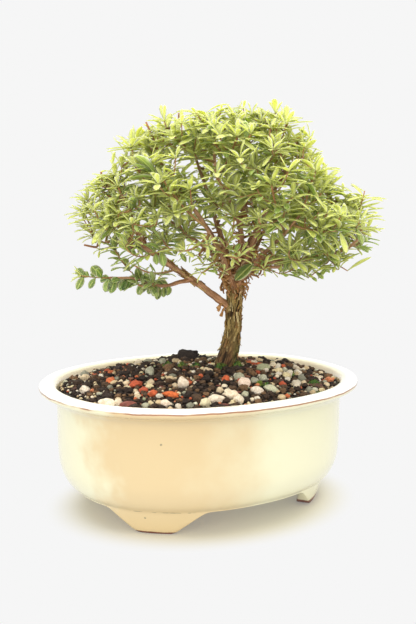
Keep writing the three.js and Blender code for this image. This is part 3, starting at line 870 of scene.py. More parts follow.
@dataclass
class Pot(Piece):
    """Oval pot with a flared lip, whose wall runs down into four bracket feet."""

    length: float = 200.0
    width: float = 172.0
    oval_power: float = 2.17
    sides: int = 240
    base_height: float = 13.8
    base_inset: float = 20.2
    floor_top: float = 20.0
    wall: tuple[Span, ...] = (
        (20.2, 13.8), (15.4, 18.5), (12.0, 27), (10.7, 42), (10.5, 63), (9.6, 67.0), (6.6, 69.9),
        (2.2, 71.6), (0.5, 72.7), (0.1, 74.2), (0.7, 75.8), (3.2, 76.4), (7.4, 76.3), (9.6, 75.5),
        (11.2, 73.0), (13.0, 68.5), (15.4, 64.5), (16.0, 60), (16.4, 36), (20.0, 24.5), (27.0, 20.0),
    )
    crest_pin: int = 11
    wall_rows: int = 110
    foot_angle: float = 44.5
    foot_top_half_angle: float = 24.0
    foot_bottom_half_angle: float = 9.4
    foot_softness: float = 0.16
    front_right_turn: float = 2.5
    foot_bottom_inset: float = 24.5
    foot_depth: float = 10.5
    foot_step: float = 0.1
    foot_lap: float = 0.4
    foot_thickness: Span = (2.2, 8.4)
    foot_rounding: Span = (0.15, 0.7)
    face_shares: tuple[float, ...] = (0.12, 0.3, 0.5, 0.7, 0.86)
    back_shares: tuple[float, ...] = (0.3, 0.65, 1.0)
    edge_drop: float = 0.35
    drain_radius: float = 8.0
    drain_offset: float = 40.0
    waver: float = 0.35
    waver_scale: float = 0.035
    waver_from: float = 30.0
    sharp_edge: float = math.radians(50)
    specks: tuple[tuple[float, float, float, float], ...] = (
        (-58.7, -59.4, 55.5, 0.7), (-60.9, -43.6, 10.1, 0.7))

    def oval(self, inset: float, angle: float, height: float) -> Array:
        """Point of the oval.

        Args:
            inset: Way in from the lip's outer edge.
            angle: Angle round the pot, in radians.
            height: Height of the point.

        Returns:
            The point.
        """
        power = 2 / self.oval_power
        c, s = math.cos(angle), math.sin(angle)
        x = (self.length / 2 - inset) * math.copysign(abs(c) ** power, c)
        y = (self.width / 2 - inset) * math.copysign(abs(s) ** power, s)
        return np.array([x, y, height])

    def profile(self) -> list[Point]:
        """Wall from the base's edge over the lip to the floor.

        Returns:
            The inset and the height of each row, and its way down from the lip's crest in decimetres.
        """
        curve = through([(inset, height, 0.0) for inset, height in self.wall])

        def way(value: float) -> float:
            """Length of the wall up to a value of its curve, in decimetres."""
            return float(np.interp(value, curve.values, curve.lengths)) / 100

        crest = way(self.crest_pin / (len(self.wall) - 1))
        values = [i / self.wall_rows for i in range(self.wall_rows + 1)]
        return [(*curve.at(value)[:2], crest - way(value)) for value in values]

    def foot_share(self, angle: float) -> float:
        """How far the wall runs down.

        Args:
            angle: Angle round the pot, in radians.

        Returns:
            0 between the feet, 1 at a foot's flat end, and a value between on its soft slope.
        """
        turn = math.degrees(angle) % 180
        front_right = math.degrees(angle) > 270
        off = abs(min(turn, 180 - turn) - self.foot_angle + self.front_right_turn * front_right)
        slope = (self.foot_top_half_angle - off) / (self.foot_top_half_angle - self.foot_bottom_half_angle)
        soft = self.foot_softness
        if abs(slope) < soft:
            return (slope + soft) ** 2 / (4 * soft)
        if abs(slope - 1) < soft:
            return slope - (slope - 1 + soft) ** 2 / (4 * soft)
        return clamped(slope)

    def foot_rows(self, angle: float) -> list[Span]:
        """A foot's outer face, its end and its inner face.

        Args:
            angle: Angle round the pot, in radians.

        Returns:
            The inset and the height of each row, from the wall down and up again inside.
        """
        share = self.foot_share(angle)
        low = mix(self.base_height - self.edge_drop, 0.0, share)
        outer = mix(self.base_inset + self.foot_step, self.foot_bottom_inset, share)
        inner = outer + mix(*self.foot_thickness, share)
        soft = mix(*self.foot_rounding, share)
        heel = low + soft * 0.6
        back, top = self.base_inset + self.foot_depth, self.base_height + self.foot_lap
        rows = [(mix(self.base_inset, outer, t), mix(self.base_height, low, t)) for t in self.face_shares]
        rows += [(outer + soft * 0.25, low + soft * 0.35), (outer + soft, low), (inner - soft, low)]
        rows.append((inner, heel))
        return rows + [(mix(inner, back, t), mix(heel, top, t)) for t in self.back_shares]

    def wavering(self, point: Array) -> Array:
        """The point, moved a little in or down where it is high on the wall, as on a pot made by hand."""
        drift = noise.noise(Vector(point) * self.waver_scale + Vector((7, 3, 1))) * self.waver
        if point[2] <= self.waver_from:
            return point
        return point * np.array([1 - abs(drift) / 100, 1 - abs(drift) / 100, 1]) + UP * min(0.0, drift)

    def skin(self) -> Skin:
        """The whole pot as one closed mesh, without its drainage holes.

        Returns:
            The mesh, which gives each point the share round the pot and the way down from the lip's crest.
        """
        wall = self.profile()
        base_way, floor_way = wall[0][2], wall[-1][2]
        angles = [2 * math.pi * i / self.sides for i in range(self.sides)]
        columns = []
        for angle in angles:
            foot = [(inset, height, base_way + (self.base_height - height) / 100 + 0.01)
                    for inset, height in reversed(self.foot_rows(angle))]
            columns.append(foot + wall)
        points, places = [], []
        for row in zip(*columns):
            for angle, (inset, height, way) in zip(angles, row):
                points.append(self.wavering(self.oval(inset, angle, height)))
                places.append((angle / (2 * math.pi), way))
        points += [UP * (self.base_height + self.foot_lap), UP * self.floor_top]
        places += [(0.5, base_way + 0.2), (0.5, floor_way)]
        skin = Skin()
        skin.add(np.array(points), closed_faces(len(columns[0]), self.sides), places=np.array(places))
        return skin

    def bore(self, thing: bpy.types.Object) -> None:
        """Cuts the two drainage holes through the floor.

        Args:
            thing: The pot.
        """
        rise = UP * (self.floor_top - self.base_height)
        for side in (-1, 1):
            cutter = Skin()
            low = np.array([side * self.drain_offset, 0.0, self.base_height]) - rise
            line = bow(low, low + rise, low + 3 * rise)
            cutter.add(*tube_body(line, 2, 40, taper(self.drain_radius, self.drain_radius))[:2])
            drill = cutter.build("drain_drill", [])
            cut = thing.modifiers.new("drain", "BOOLEAN")
            cut.operation = "DIFFERENCE"
            cut.solver = "EXACT"
            cut.object = drill
            apply_modifiers(thing)
            bpy.data.objects.remove(drill)

    def make(self) -> None:
        """Builds the glazed pot."""
        specks = (np.array(self.specks) + [*POT_CENTRE, 0.0]) * MM
        glaze = Glaze(specks=tuple(tuple(map(float, speck)) for speck in specks))
        thing = self.skin().build("glazed_pot", [glaze.material()])
        self.bore(thing)
        thing.data.set_sharp_from_angle(angle=self.sharp_edge)
        self.dress(thing, "glaze", "pot")


def apply_modifiers(thing: bpy.types.Object) -> None:
    """Puts what an object's modifiers make into its mesh, and drops them.

    Args:
        thing: The object.
    """
    graph = bpy.context.evaluated_depsgraph_get()
    shaped = bpy.data.meshes.new_from_object(thing.evaluated_get(graph))
    thing.modifiers.clear()
    worn = thing.data
    thing.data = shaped
    bpy.data.meshes.remove(worn)


class Kind(Enum):
    """What a grain on the bed is."""

    CRUMB = "soil_crumbs"
    PUMICE = "pumice_grains"
    GREY = "grey_gravel"
    BRICK = "brick_crumbs"
    CHIP = "bark_chips"


@dataclass(frozen=True)
class GrainKind:
    """How the grains of one kind look."""

    share: float
    tints: tuple[Colour, ...]
    finish: Grain
    planes: int = 6
    lumps: float = 0.16
    shape: Point = (1.0, 0.82, 0.72)


GRAIN_KINDS = {
    Kind.CRUMB: GrainKind(
        0.60, shades("4a3626", "644b34", "33261c", "8a6846", "403024"),
        Grain("dark_soil", 0.95, deep=shade("17110e"), scale=700.0, relief=0.0012),
        planes=3, lumps=0.5, shape=(0.95, 0.75, 0.62)),
    Kind.PUMICE: GrainKind(
        0.19, shades("f0e0c2", "dfcaa4", "ece2cc", "cfb78c", "e2d2a2"),
        Grain("pumice", 0.85, deep=shade("b79c78"), scale=520.0, amount=0.55, relief=0.0007)),
    Kind.GREY: GrainKind(
        0.06, shades("bfbb9c", "a39f88", "d2cdb0", "8d8974", "abad84"),
        Grain("grey_gravel_face", 0.7, deep=shade("6a6952"), scale=600.0, amount=0.5, relief=0.0004)),
    Kind.BRICK: GrainKind(
        0.06, shades("e37d4b", "d0663b", "ea9463", "c25a38"),
        Grain("brick", 0.9, deep=shade("7c331d"), scale=650.0, relief=0.0008), lumps=0.28),
    Kind.CHIP: GrainKind(
        0.05, shades("7a4436", "5e3a2b", "8a5a40"),
        Grain("chip_bark", 0.8, deep=shade("3a211a"), scale=480.0, relief=0.0006),
        planes=8, lumps=0.14, shape=(1.25, 0.7, 0.3)),
}


@dataclass(frozen=True)
class Stone:
    """A stone that stands out in the bed: its place, half sizes, turn in degrees, kind and tint."""

    x: float
    y: float
    half: Point
    turn: float
    kind: Kind
    tint: Colour


@dataclass
class Bed(Piece):
    """Damp soil mixed and topped with pumice, gravel, brick crumbs and chips of bark."""

    pot: Pot = field(default_factory=Pot)
    wall_inset: float = 16.35
    mound_inset: float = 16.0
    top_inset: float = 12.05
    edge: float = 73.0
    peak: float = 82.5
    roundness: float = 2.2
    floor: float = 20.4
    lining: tuple[Span, ...] = (
        (27.4, 20.4), (20.4, 24.9), (16.95, 36.0), (16.35, 60.0), (15.15, 66.5))
    soil_sides: int = 160
    soil_rings: int = 46
    soil_below: float = 0.7
    soil_rough: float = 0.9
    soil_tint: Colour = shade("35291f")
    trunk_foot: Span = (16.2, -3.7)
    trunk_clear: float = 7.5
    rim_reach: float = 3.9
    tries: int = 3
    sizes: tuple[tuple[int, float, float, int], ...] = (
        (70, 2.6, 3.9, 3), (380, 2.0, 2.6, 3), (900, 1.2, 2.0, 2), (3200, 0.7, 1.2, 2),
    )
    packing: float = 0.74
    standing: tuple[Stone, ...] = (
        Stone(12.6, 40.2, (8.5, 6.0, 4.6), -30, Kind.CRUMB, shade("3a302a")),
        Stone(4.0, 42.0, (4.6, 4.0, 2.8), 50, Kind.CRUMB, shade("46392f")),
        Stone(21.5, 35.0, (4.4, 3.4, 2.4), -10, Kind.CRUMB, shade("332a25")),
        Stone(-77.0, -31.0, (6.2, 3.8, 3.2), -50, Kind.PUMICE, shade("f2e6cd")),
        Stone(-68.0, -37.5, (5.4, 3.4, 2.2), -25, Kind.CHIP, shade("8f4f3f")),
        Stone(-23.2, -58.0, (4.9, 3.2, 3.0), -38, Kind.PUMICE, shade("efe0c6")),
        Stone(-13.6, -58.0, (4.2, 3.3, 3.3), -20, Kind.PUMICE, shade("f0dfc2")),
        Stone(1.7, -47.5, (3.9, 3.1, 4.0), 10, Kind.PUMICE, shade("f6dcc8")),
        Stone(4.6, -56.5, (4.2, 2.5, 2.6), -60, Kind.PUMICE, shade("f3e6d2")),
        Stone(13.5, -57.0, (4.4, 3.0, 2.7), -45, Kind.GREY, shade("cbc8a6")),
        Stone(-43.6, -41.5, (5.6, 2.2, 2.3), -58, Kind.BRICK, shade("e4743a")),
        Stone(-51.0, -35.0, (3.0, 2.2, 2.2), -40, Kind.BRICK, shade("dd6a3c")),
        Stone(-33.7, 3.3, (4.0, 3.2, 3.6), 30, Kind.GREY, shade("bbb79c")),
        Stone(-13.2, 25.6, (3.6, 3.0, 3.2), 60, Kind.GREY, shade("aba78e")),
        Stone(-30.5, -32.7, (3.6, 3.2, 4.4), 15, Kind.PUMICE, shade("eddcc4")),
        Stone(-50.8, -50.0, (3.4, 2.6, 2.6), -70, Kind.PUMICE, shade("eed9c0")),
        Stone(-31.6, -60.5, (3.4, 2.8, 3.2), 0, Kind.PUMICE, shade("e4dbb2")),
        Stone(-12.5, -64.0, (3.6, 3.0, 3.3), 40, Kind.PUMICE, shade("efe2c8")),
        Stone(49.0, -51.0, (5.6, 2.8, 1.4), -40, Kind.CHIP, shade("6f4a3c")),
        Stone(-76.0, 4.0, (4.6, 3.4, 2.8), 80, Kind.PUMICE, shade("efe3cf")),
        Stone(-4.0, -37.0, (2.6, 2.2, 3.0), 0, Kind.BRICK, shade("d7683c")),
        Stone(34.0, -20.0, (5.0, 4.0, 3.0), -20, Kind.GREY, shade("b0b088")),
        Stone(26.0, 8.0, (5.2, 4.0, 3.2), 10, Kind.GREY, shade("bcbb96")),
    )

    def half_sizes(self, inset: float) -> Span:
        """Half length and half width of the pot's oval at an inset from the lip."""
        return self.pot.length / 2 - inset, self.pot.width / 2 - inset

    def height(self, x: float, y: float) -> float:
        """Height of the soil: highest in the middle, with low waves that die away at the edge.

        Args:
            x: Place along the pot.
            y: Place across it.

        Returns:
            The height.
        """
        half = self.half_sizes(self.mound_inset)
        out = min(1.0, math.hypot(x / half[0], y / half[1]))
        waves = math.sin(x * 0.11 + 1) * math.cos(y * 0.13) + 0.6 * math.sin(x * 0.23 - y * 0.19)
        return mix(self.peak, self.edge, out ** self.roundness) + waves * (1 - out ** 4)

    def is_outside(self, x: float, y: float, margin: float) -> bool:
        """Whether a place is nearer to the wall than a margin."""
        half = self.half_sizes(self.wall_inset + margin)
        return (abs(x) / half[0]) ** self.pot.oval_power + (abs(y) / half[1]) ** self.pot.oval_power > 1

    def soil(self) -> Skin:
        """The packed soil, rough on top, that fills the pot.

        Returns:
            One closed body.
        """
        angles = [2 * math.pi * i / self.soil_sides for i in range(self.soil_sides)]
        points = [self.pot.oval(inset, angle, height) for inset, height in self.lining for angle in angles]
        for ring in range(self.soil_rings):
            for angle in angles:
                x, y, _ = self.pot.oval(self.top_inset, angle, 0) * (1 - ring / self.soil_rings)
                rough = noise.fractal(Vector((x, y, 5.0)) * 0.55, 0.8, 2.0, 4) * self.soil_rough
                points.append(np.array([x, y, self.height(x, y) - self.soil_below + rough]))
        points += [UP * self.floor, UP * (self.height(0, 0) - self.soil_below)]
        skin = Skin()
        skin.add(np.array(points), closed_faces(len(self.lining) + self.soil_rings, self.soil_sides),
                 tint=self.soil_tint)
        return skin

    def grain(self, form: Array, number: int, half: Sequence[float], kind: GrainKind) -> Array:
        """Corner points of a stone about its middle: a ball with flats and lumps.

        Args:
            form: Points of the ball that it is cut from.
            number: Number of the stone, for its draws.
            half: Its half sizes.
            kind: How its kind looks.

        Returns:
            The points.
        """
        points = form.copy()
        for plane in range(kind.planes):
            normal = unit(np.array([draw(number, series + plane) for series in (31, 47, 61)]) - 0.5)
            over = points @ normal - mix(0.62, 0.86, draw(number, 75 + plane))
            points -= np.outer(np.maximum(over, 0), normal)
        offset = Vector((draw(number, 5), draw(number, 6), draw(number, 7))) * 40
        swell = [noise.noise(Vector(p) * 1.9 + offset) + 0.5 * noise.noise(Vector(p) * 4.5 + offset)
                 for p in points]
        points *= (1 + kind.lumps * np.array(swell))[:, None]
        points *= np.array(half)
        axis = unit(np.array([draw(number, 8) - 0.5, draw(number, 9) - 0.5, 2.0]))
        return turned(points, axis, 0.35 * (draw(number, 10) - 0.5))

    def lay(self, skin: Skin, stone: Stone, number: int, fineness: int, rise: float) -> None:
        """Lays a stone on the bed.

        Args:
            skin: The mesh that it is added to.
            stone: The stone.
            number: Its number, for its draws.
            fineness: How often its faces are split.
            rise: How far its middle stands over the soil, as a share of its half height.
        """
        points, faces = ball(fineness)
        points = turned(self.grain(points, number, stone.half, GRAIN_KINDS[stone.kind]), UP,
                        math.radians(stone.turn))
        points += np.array([stone.x, stone.y, self.height(stone.x, stone.y) + stone.half[2] * rise])
        skin.add(points, faces, stone.tint)

    def scatter(self) -> list[tuple[float, float, float, int, int]]:
        """Places of the loose grains, which leave no large gap.

        Returns:
            For each its x, y, radius, fineness and number.
        """
        taken = [(s.x, s.y, (s.half[0] + s.half[1]) / 2 * 0.9) for s in self.standing]
        placed = []
        half = self.half_sizes(self.wall_inset)
        number = 0
        for count, small, large, fineness in self.sizes:
            for _ in range(count * self.tries):
                number += 1
                x, y = ((2 * draw(number, 1 + axis) - 1) * half[axis] for axis in (0, 1))
                radius = mix(small, large, draw(number, 3))
                off_trunk = math.hypot(x - self.trunk_foot[0], y - self.trunk_foot[1])
                too_near = off_trunk < self.trunk_clear + radius * 0.5
                if too_near or self.is_outside(x, y, radius * 0.7 - self.rim_reach):
                    continue
                spots = np.array(taken)
                gaps = np.hypot(spots[:, 0] - x, spots[:, 1] - y)
                if np.all(gaps > self.packing * (spots[:, 2] + radius)):
                    taken.append((x, y, radius))
                    placed.append((x, y, radius, fineness, number))
        return placed

    def loose(self, x: float, y: float, radius: float, number: int) -> Stone:
        """A loose grain of a kind, size and tint that are drawn.

        Args:
            x: Its place along the pot.
            y: Its place across it.
            radius: Its size.
            number: Its number, for its draws.

        Returns:
            The stone.
        """
        marks = np.cumsum([look.share for look in GRAIN_KINDS.values()])
        kind = list(Kind)[int(np.searchsorted(marks, draw(number, 4) * marks[-1]))]
        look = GRAIN_KINDS[kind]
        half = tuple(radius * size * mix(0.85, 1.15, draw(number, 20 + n)) for n, size in enumerate(look.shape))
        tint = np.array(look.tints[int(draw(number, 13) * len(look.tints))]) * mix(0.8, 1.12, draw(number, 14))
        return Stone(x, y, half, 360 * draw(number, 11), kind, tuple(tint))

    def make(self) -> None:
        """Builds the soil, and one object for each kind of grain."""
        finishes = {kind: look.finish.material() for kind, look in GRAIN_KINDS.items()}
        self.dress(self.soil().build("potting_soil", [finishes[Kind.CRUMB]]), "soil", "soil_bed")
        skins = {kind: Skin() for kind in Kind}
        for number, stone in enumerate(self.standing):
            self.lay(skins[stone.kind], stone, number + 9000, 3, 0.35)
        for x, y, radius, fineness, number in self.scatter():
            stone = self.loose(x, y, radius, number)
            self.lay(skins[stone.kind], stone, number, fineness, mix(0.1, 0.5, draw(number, 12)))
        for kind, skin in skins.items():
            self.dress(skin.build(kind.value, [finishes[kind]]), "soil")


@cache
def ball(fineness: int) -> tuple[Array, Array]:
    """A ball of radius one, from twenty triangles.

    Args:
        fineness: 1 for the twenty, and one more for each time that they are split.

    Returns:
        Its points and its triangles.
    """
    golden = (1 + 5 ** 0.5) / 2
    points = [unit(np.array(p, float)) for p in (
        (-1, golden, 0), (1, golden, 0), (-1, -golden, 0), (1, -golden, 0),
        (0, -1, golden), (0, 1, golden), (0, -1, -golden), (0, 1, -golden),
        (golden, 0, -1), (golden, 0, 1), (-golden, 0, -1), (-golden, 0, 1),
    )]
    faces = [
        (0, 11, 5), (0, 5, 1), (0, 1, 7), (0, 7, 10), (0, 10, 11), (1, 5, 9), (5, 11, 4), (11, 10, 2),
        (10, 7, 6), (7, 1, 8), (3, 9, 4), (3, 4, 2), (3, 2, 6), (3, 6, 8), (3, 8, 9), (4, 9, 5),
        (2, 4, 11), (6, 2, 10), (8, 6, 7), (9, 8, 1),
    ]
    for _ in range(fineness - 1):
        middles: dict[Face, int] = {}

        def middle(a: int, b: int) -> int:
            """Number of the point in the middle of an edge, made where it is new."""
            key = (min(a, b), max(a, b))
            if key not in middles:
                middles[key] = len(points)
                points.append(unit(points[a] + points[b]))
            return middles[key]

        split = []
        for a, b, c in faces:
            ab, bc, ca = middle(a, b), middle(b, c), middle(c, a)
            split += [(a, ab, ca), (b, bc, ab), (c, ca, bc), (ab, bc, ca)]
        faces = split
    return np.array(points), np.array(faces)


@dataclass(frozen=True)
class Limb:
    """A limb: its path in the tree's frame, and its radius at both ends."""

    path: tuple[Point, ...]
    start: float
    end: float

    @cache
    def curve(self) -> Curve:
        """The line of the limb."""
        return through(self.path)


TRUNK = Limb(((11.8, 7, 58), (13, 6, 70), (15, 5, 82), (18.6, 4, 96), (20.2, 3, 108), (20.8, 2, 121),
              (21.4, 2, 131), (21.7, 2, 139)), 2.6, 3.2)
LIMBS = (
    Limb(((20, 2, 118), (15.7, 2, 121.6), (6.4, 0, 128.4), (-3.4, -2, 136.3), (-16, -5, 144.5),
          (-24.5, -8, 151.6), (-32.7, -10, 157), (-38, -12, 167), (-43, -14, 182), (-48, -15, 191)), 2.4, 0.9),
    Limb(((-4, -2, 137.5), (-12, -4, 136), (-24, -10, 134), (-39, -16, 139), (-54, -21, 140)), 1.3, 0.7),
    Limb(((-32, -10, 157), (-42.7, -6, 162), (-58, 0, 160)), 1.2, 0.7),
    Limb(((22, 2, 134), (25, 1.5, 141), (32, 0, 147), (51, -4, 148.3), (64, -8, 150.4), (74, -10, 153),
          (86, -12, 156), (97, -14, 165)), 2.1, 0.8),
    Limb(((23, 3, 137), (31, 6, 143), (48.9, 10, 144.4), (61.7, 14, 147)), 1.6, 0.7),
    Limb(((22, 2, 136), (27, 6, 153), (46.7, 18, 181), (66, 26, 189), (80, 31, 196)), 1.9, 0.8),
    Limb(((21.5, 3, 134), (13.3, 12, 161), (2.7, 24, 195), (-4, 28, 214)), 2.1, 0.8),
    Limb(((22, 2, 136), (24, -4, 170), (10, -10, 200), (8, -12, 216)), 2.2, 0.8),
    Limb(((23.8, -3, 168), (30, 5, 197), (30, 8, 219)), 1.5, 0.8),
    Limb(((22.5, 1, 136), (37, -6, 172), (45, -12, 193), (55, -17, 207)), 1.9, 0.8),
    Limb(((21, 0, 131), (16, -14, 146), (9, -30, 160), (3, -44, 171)), 1.8, 0.7),
    Limb(((22, 0, 133), (36, -17, 152), (48, -33, 166), (56, -43, 177)), 1.7, 0.7),
    Limb(((22.5, 4, 131), (31, 20, 147), (39, 37, 161), (44, 48, 173)), 1.9, 0.7),
    Limb(((21, 4, 133), (8, 20, 151), (-11, 34, 165), (-26, 42, 177)), 1.7, 0.7),
    Limb(((21, 2, 134), (8, 1, 162), (-8, -3, 186), (-22, -6, 206)), 1.9, 0.8),
)
LOWER_LEFT_LIMB = 1
HEART = np.array([20.0, -1.0, 165.0])


@dataclass
class Wood(Piece):
    """Trunk and limbs, fluted and stringy, with dry stubs and shreds of bark about the fork."""

    trunk_radii: tuple[float, ...] = (2.6, 6.5, 6.2, 5.4, 4.6, 4.5, 4.8, 3.2)
    trunk_steps: int = 170
    trunk_sides: int = 64
    limb_sides: int = 14
    limb_pitch: float = 1.2
    strand_depth: float = 0.95
    knot_pitch: float = 8.0
    foot_top: float = 107.0
    foot_fade: float = 18.0
    moss_from: float = 19.0
    moss_fade: float = 4.0
    stubs: tuple[tuple[Point, ...], ...] = (
        ((14.6, 1.0, 122.8), (12.6, -0.6, 121.6), (10.1, -1.4, 119.2)),
        ((15.6, 0.5, 120.6), (13.8, -1.0, 118.0), (12.5, -2.4, 114.6)),
        ((12.0, -0.6, 121.8), (11.4, -1.0, 118.6), (10.6, -1.2, 117.6)),
    )
    shreds: int = 460
    flakes: int = 260
    limb_flake: int = 6
    shred_from: float = 130.0
    bare_below: float = 104.0
    dry: tuple[Colour, ...] = shades("d8a466", "c28a4e", "e8c496", "8c6038")
    flake_tints: tuple[Colour, ...] = shades("d8ba74", "b4944e", "8a6a3a", "e6d496")
    bark: tuple[Colour, ...] = shades("4a3518", "cdb06a")
    foot_bark: tuple[Colour, ...] = shades("2b2018", "85593c")
    moss_bark: Colour = shade("8f9340")
    limb_bark: tuple[Colour, ...] = shades("c8946a", "dfae86")

    def core(self, share: float) -> float:
        """Radius of the trunk without its flutes at a share of its length."""
        pins = len(self.trunk_radii) - 1
        return float(np.interp(TRUNK.curve().value(share) * pins, range(pins + 1), self.trunk_radii))

    def strand(self, share: float, angle: float) -> float:
        """Height of the wavy strands of the trunk's bark.

        Args:
            share: Share of the trunk's length.
            angle: Angle round it.

        Returns:
            The height, from about -1 to 1.
        """
        wound = angle + 0.9 * math.sin(5 * share + 0.6)
        spot = Vector((2.3 * math.cos(wound), 2.3 * math.sin(wound), share * TRUNK.curve().length * 0.075))
        ridge = 1 - 2.1 * abs(noise.noise(spot))
        return 0.75 * ridge + 0.5 * noise.noise(spot * 3.3 + Vector((5, 1, 2)))

    def trunk(self, skin: Skin) -> None:
        """Trunk with broad flutes and wavy strands, olive brown above and dark at its foot.

        Args:
            skin: The mesh that it is added to.
        """
        bark, foot_bark = np.array(self.bark), np.array(self.foot_bark)

        def radius(share: float, angle: float, _: Array) -> float:
            """Radius with the flutes and strands."""
            flutes = 1 + 0.1 * math.cos(3 * angle + 4 * share) + 0.05 * math.cos(5 * angle - 7 * share)
            return self.core(share) * flutes + self.strand_depth * (self.strand(share, angle) - 0.35)

        points, faces, places = tube_body(TRUNK.curve(), self.trunk_steps, self.trunk_sides, radius)
        tints = []
        for (share, turn), point in zip(places, points):
            rise = clamped(1.3 * self.strand(share, turn * 2 * math.pi) - 0.1)
            foot = clamped((self.foot_top - point[2]) / self.foot_fade)
            right = clamped((point[0] - self.moss_from) / self.moss_fade)
            dark = mix(foot_bark[0], mix(foot_bark[1], np.array(self.moss_bark), right * foot), rise)
            tints.append(mix(mix(bark[0], bark[1], rise), dark, foot * 0.9))
        skin.add(from_tree(points), faces, tint=np.array(tints), places=places)

    def limb(self, skin: Skin, number: int, limb: Limb) -> None:
        """One limb, with a collar where it leaves the wood below it and slight knots along it.

        Args:
            skin: The mesh that it is added to.
            number: Its number, for its own unevenness.
            limb: The limb.
        """
        curve = limb.curve()

        def radius(share: float, angle: float, _: Array) -> float:
            """Radius with the collar, the knots and the unevenness."""
            way = share * curve.length
            knot = math.exp(-((way % self.knot_pitch) - self.knot_pitch / 2) ** 2 / 1.3)
            spot = Vector((1.1 * math.cos(angle), 1.1 * math.sin(angle), way * 0.16 + 31 * number))
            collar = 0.3 * math.exp(-way / 3.5)
            return mix(limb.start, limb.end, share) * (1 + collar + 0.1 * knot + 0.24 * noise.noise(spot))

        points, faces, places = tube_body(curve, int(curve.length / self.limb_pitch), self.limb_sides, radius)
        tints = mix(*np.array(self.limb_bark), np.minimum(1, places[:, :1] * 1.6))
        patches = np.array([0.85 + 0.45 * noise.noise(Vector(p) * 0.21) for p in points])[:, None]
        skin.add(from_tree(points), faces, tint=tints * patches, places=places, finish=1)

    def shred(self, skin: Skin, number: int, carriers: Sequence[Curve]) -> None:
        """A curled shred of bark about the fork.

        Args:
            skin: The mesh that it is added to.
            number: Its number, for its draws.
            carriers: The limbs that can carry it, and as the last the trunk.
        """
        last = len(carriers) - 1
        pick = min(int(draw(number, 101) * (last + 2)), last)
        on_trunk = pick == last
        share = mix(0.86, 1.0, draw(number, 102)) if on_trunk else mix(0.02, 0.5, draw(number, 102) ** 1.3)
        spot = carriers[pick].frame(share)
        out = spot.out(2 * math.pi * draw(number, 103))
        rise = spot.axis * mix(-0.7, 1.0, draw(number, 104))
        side = np.cross(spot.axis, out) * mix(-1.0, 1.0, draw(number, 107))
        reach = mix(4.0, 12.0, draw(number, 105) ** 1.3)
        start = spot.centre + out * (3.6 if on_trunk else 1.2)
        bend = start + (out * 0.8 + rise * 0.5) * reach * 0.45
        turn = bend + (out * 0.35 + rise + side * 0.7) * reach * 0.35
        end = turn + (rise * 0.5 - out * 0.2 + side * 0.5 - UP * 0.5) * reach * 0.3
        self.ribbon(skin, through([start, bend, turn, end]), mix(0.5, 1.05, draw(number, 106)),
                    self.dry[number % len(self.dry)])

    def flake(self, skin: Skin, number: int) -> None:
        """A flake of bark that lifts from the trunk or the lowest limb, with few at the trunk's foot.

        Args:
            skin: The mesh that it is added to.
            number: Its number, for its draws.
        """
        on_limb = number % self.limb_flake == 0
        wood = LIMBS[0] if on_limb else TRUNK
        share = mix(0.42, 0.97, draw(number, 111)) * (0.6 if on_limb else 1.0)
        radius = mix(wood.start, wood.end, share) if on_limb else self.core(share)
        spot = wood.curve().frame(share)
        if spot.centre[2] < self.bare_below and draw(number, 118) > 0.35:
            return
        out = spot.out(2 * math.pi * draw(number, 112))
        start = spot.centre + out * (radius + 0.05)
        slant = spot.axis + np.cross(spot.axis, out) * 0.5 * (draw(number, 113) - 0.5)
        slant = slant * mix(2.5, 7.0, draw(number, 114)) * (1 if draw(number, 115) > 0.3 else -1)
        end = start + slant + out * mix(0.05, 1.9, draw(number, 116) ** 2)
        self.ribbon(skin, bow(start, start + slant * 0.5 + out * 0.25, end),
                    mix(0.3, 0.8, draw(number, 117)), self.flake_tints[number % len(self.flake_tints)])

    @staticmethod
    def ribbon(skin: Skin, line: Curve, width: float, tint: Colour) -> None:
        """A narrow flat strip that tapers towards its loose end."""
        skin.tube(line, 7, 5, lambda share, angle, _: (
            width * (1 - 0.6 * share) * (0.4 + abs(math.cos(angle)))), tint)

    def litter(self) -> Skin:
        """Dry stubs under the left limb, shreds of bark about the fork, and flakes.

        Returns:
            All of it as one mesh.
        """
        skin = Skin()
        for number, path in enumerate(self.stubs):
            skin.tube(through(path), 12, 8, lambda share, _, p: (
                mix(0.55, 1.0, share) * (1 + 0.5 * noise.noise(Vector(p) * 0.9))), self.dry[number % 2])
        carriers = [limb.curve() for number, limb in enumerate(LIMBS)
                    if limb.path[0][2] > self.shred_from and number != LOWER_LEFT_LIMB]
        for number in range(self.shreds):
            self.shred(skin, number, [*carriers, TRUNK.curve()])
        for number in range(self.flakes):
            self.flake(skin, number)
        return skin

    def make(self) -> None:
        """Builds the bark-covered wood and the litter on it."""
        skin = Skin()
        self.trunk(skin)
        for number, limb in enumerate(LIMBS):
            self.limb(skin, number, limb)
        trunk_bark = Bark("trunk_bark", 0.9, 0.3)
        limb_bark = Bark("limb_bark", 0.8, 0.35, along=24.0, around=22.0, deep=shade("80552f"),
                         ridge=shade("efcba2"), relief=0.0004)
        self.dress(skin.build("bark_and_limbs", [trunk_bark.material(), limb_bark.material()]), "bark",
                   "trunk_and_limbs")
        self.dress(self.litter().build("bark_shreds", [limb_bark.material()]), "bark")


@dataclass
class Shoot:
    """A shoot of the crown in the tree's frame."""

    number: int
    curve: Curve
    limb: int
    twig_reach: Point = (7.0, 11.2, 3.5)

    def twig(self) -> Curve:
        """The side twig at its middle.

        Returns:
            Its straight line.
        """
        start = self.curve.point(0.5)
        along = self.curve.heading(0.5)
        across = unit(np.cross(UP, along))
        across = turned(across, along, 1.6 * (draw(self.number, 7) - 0.5))
        if draw(self.number, 3) > 0.5:
            across = -across
        end = start + sum(reach * way for reach, way in zip(self.twig_reach, (along, across, UP)))
        return Curve(lambda t: mix(start, end, t))


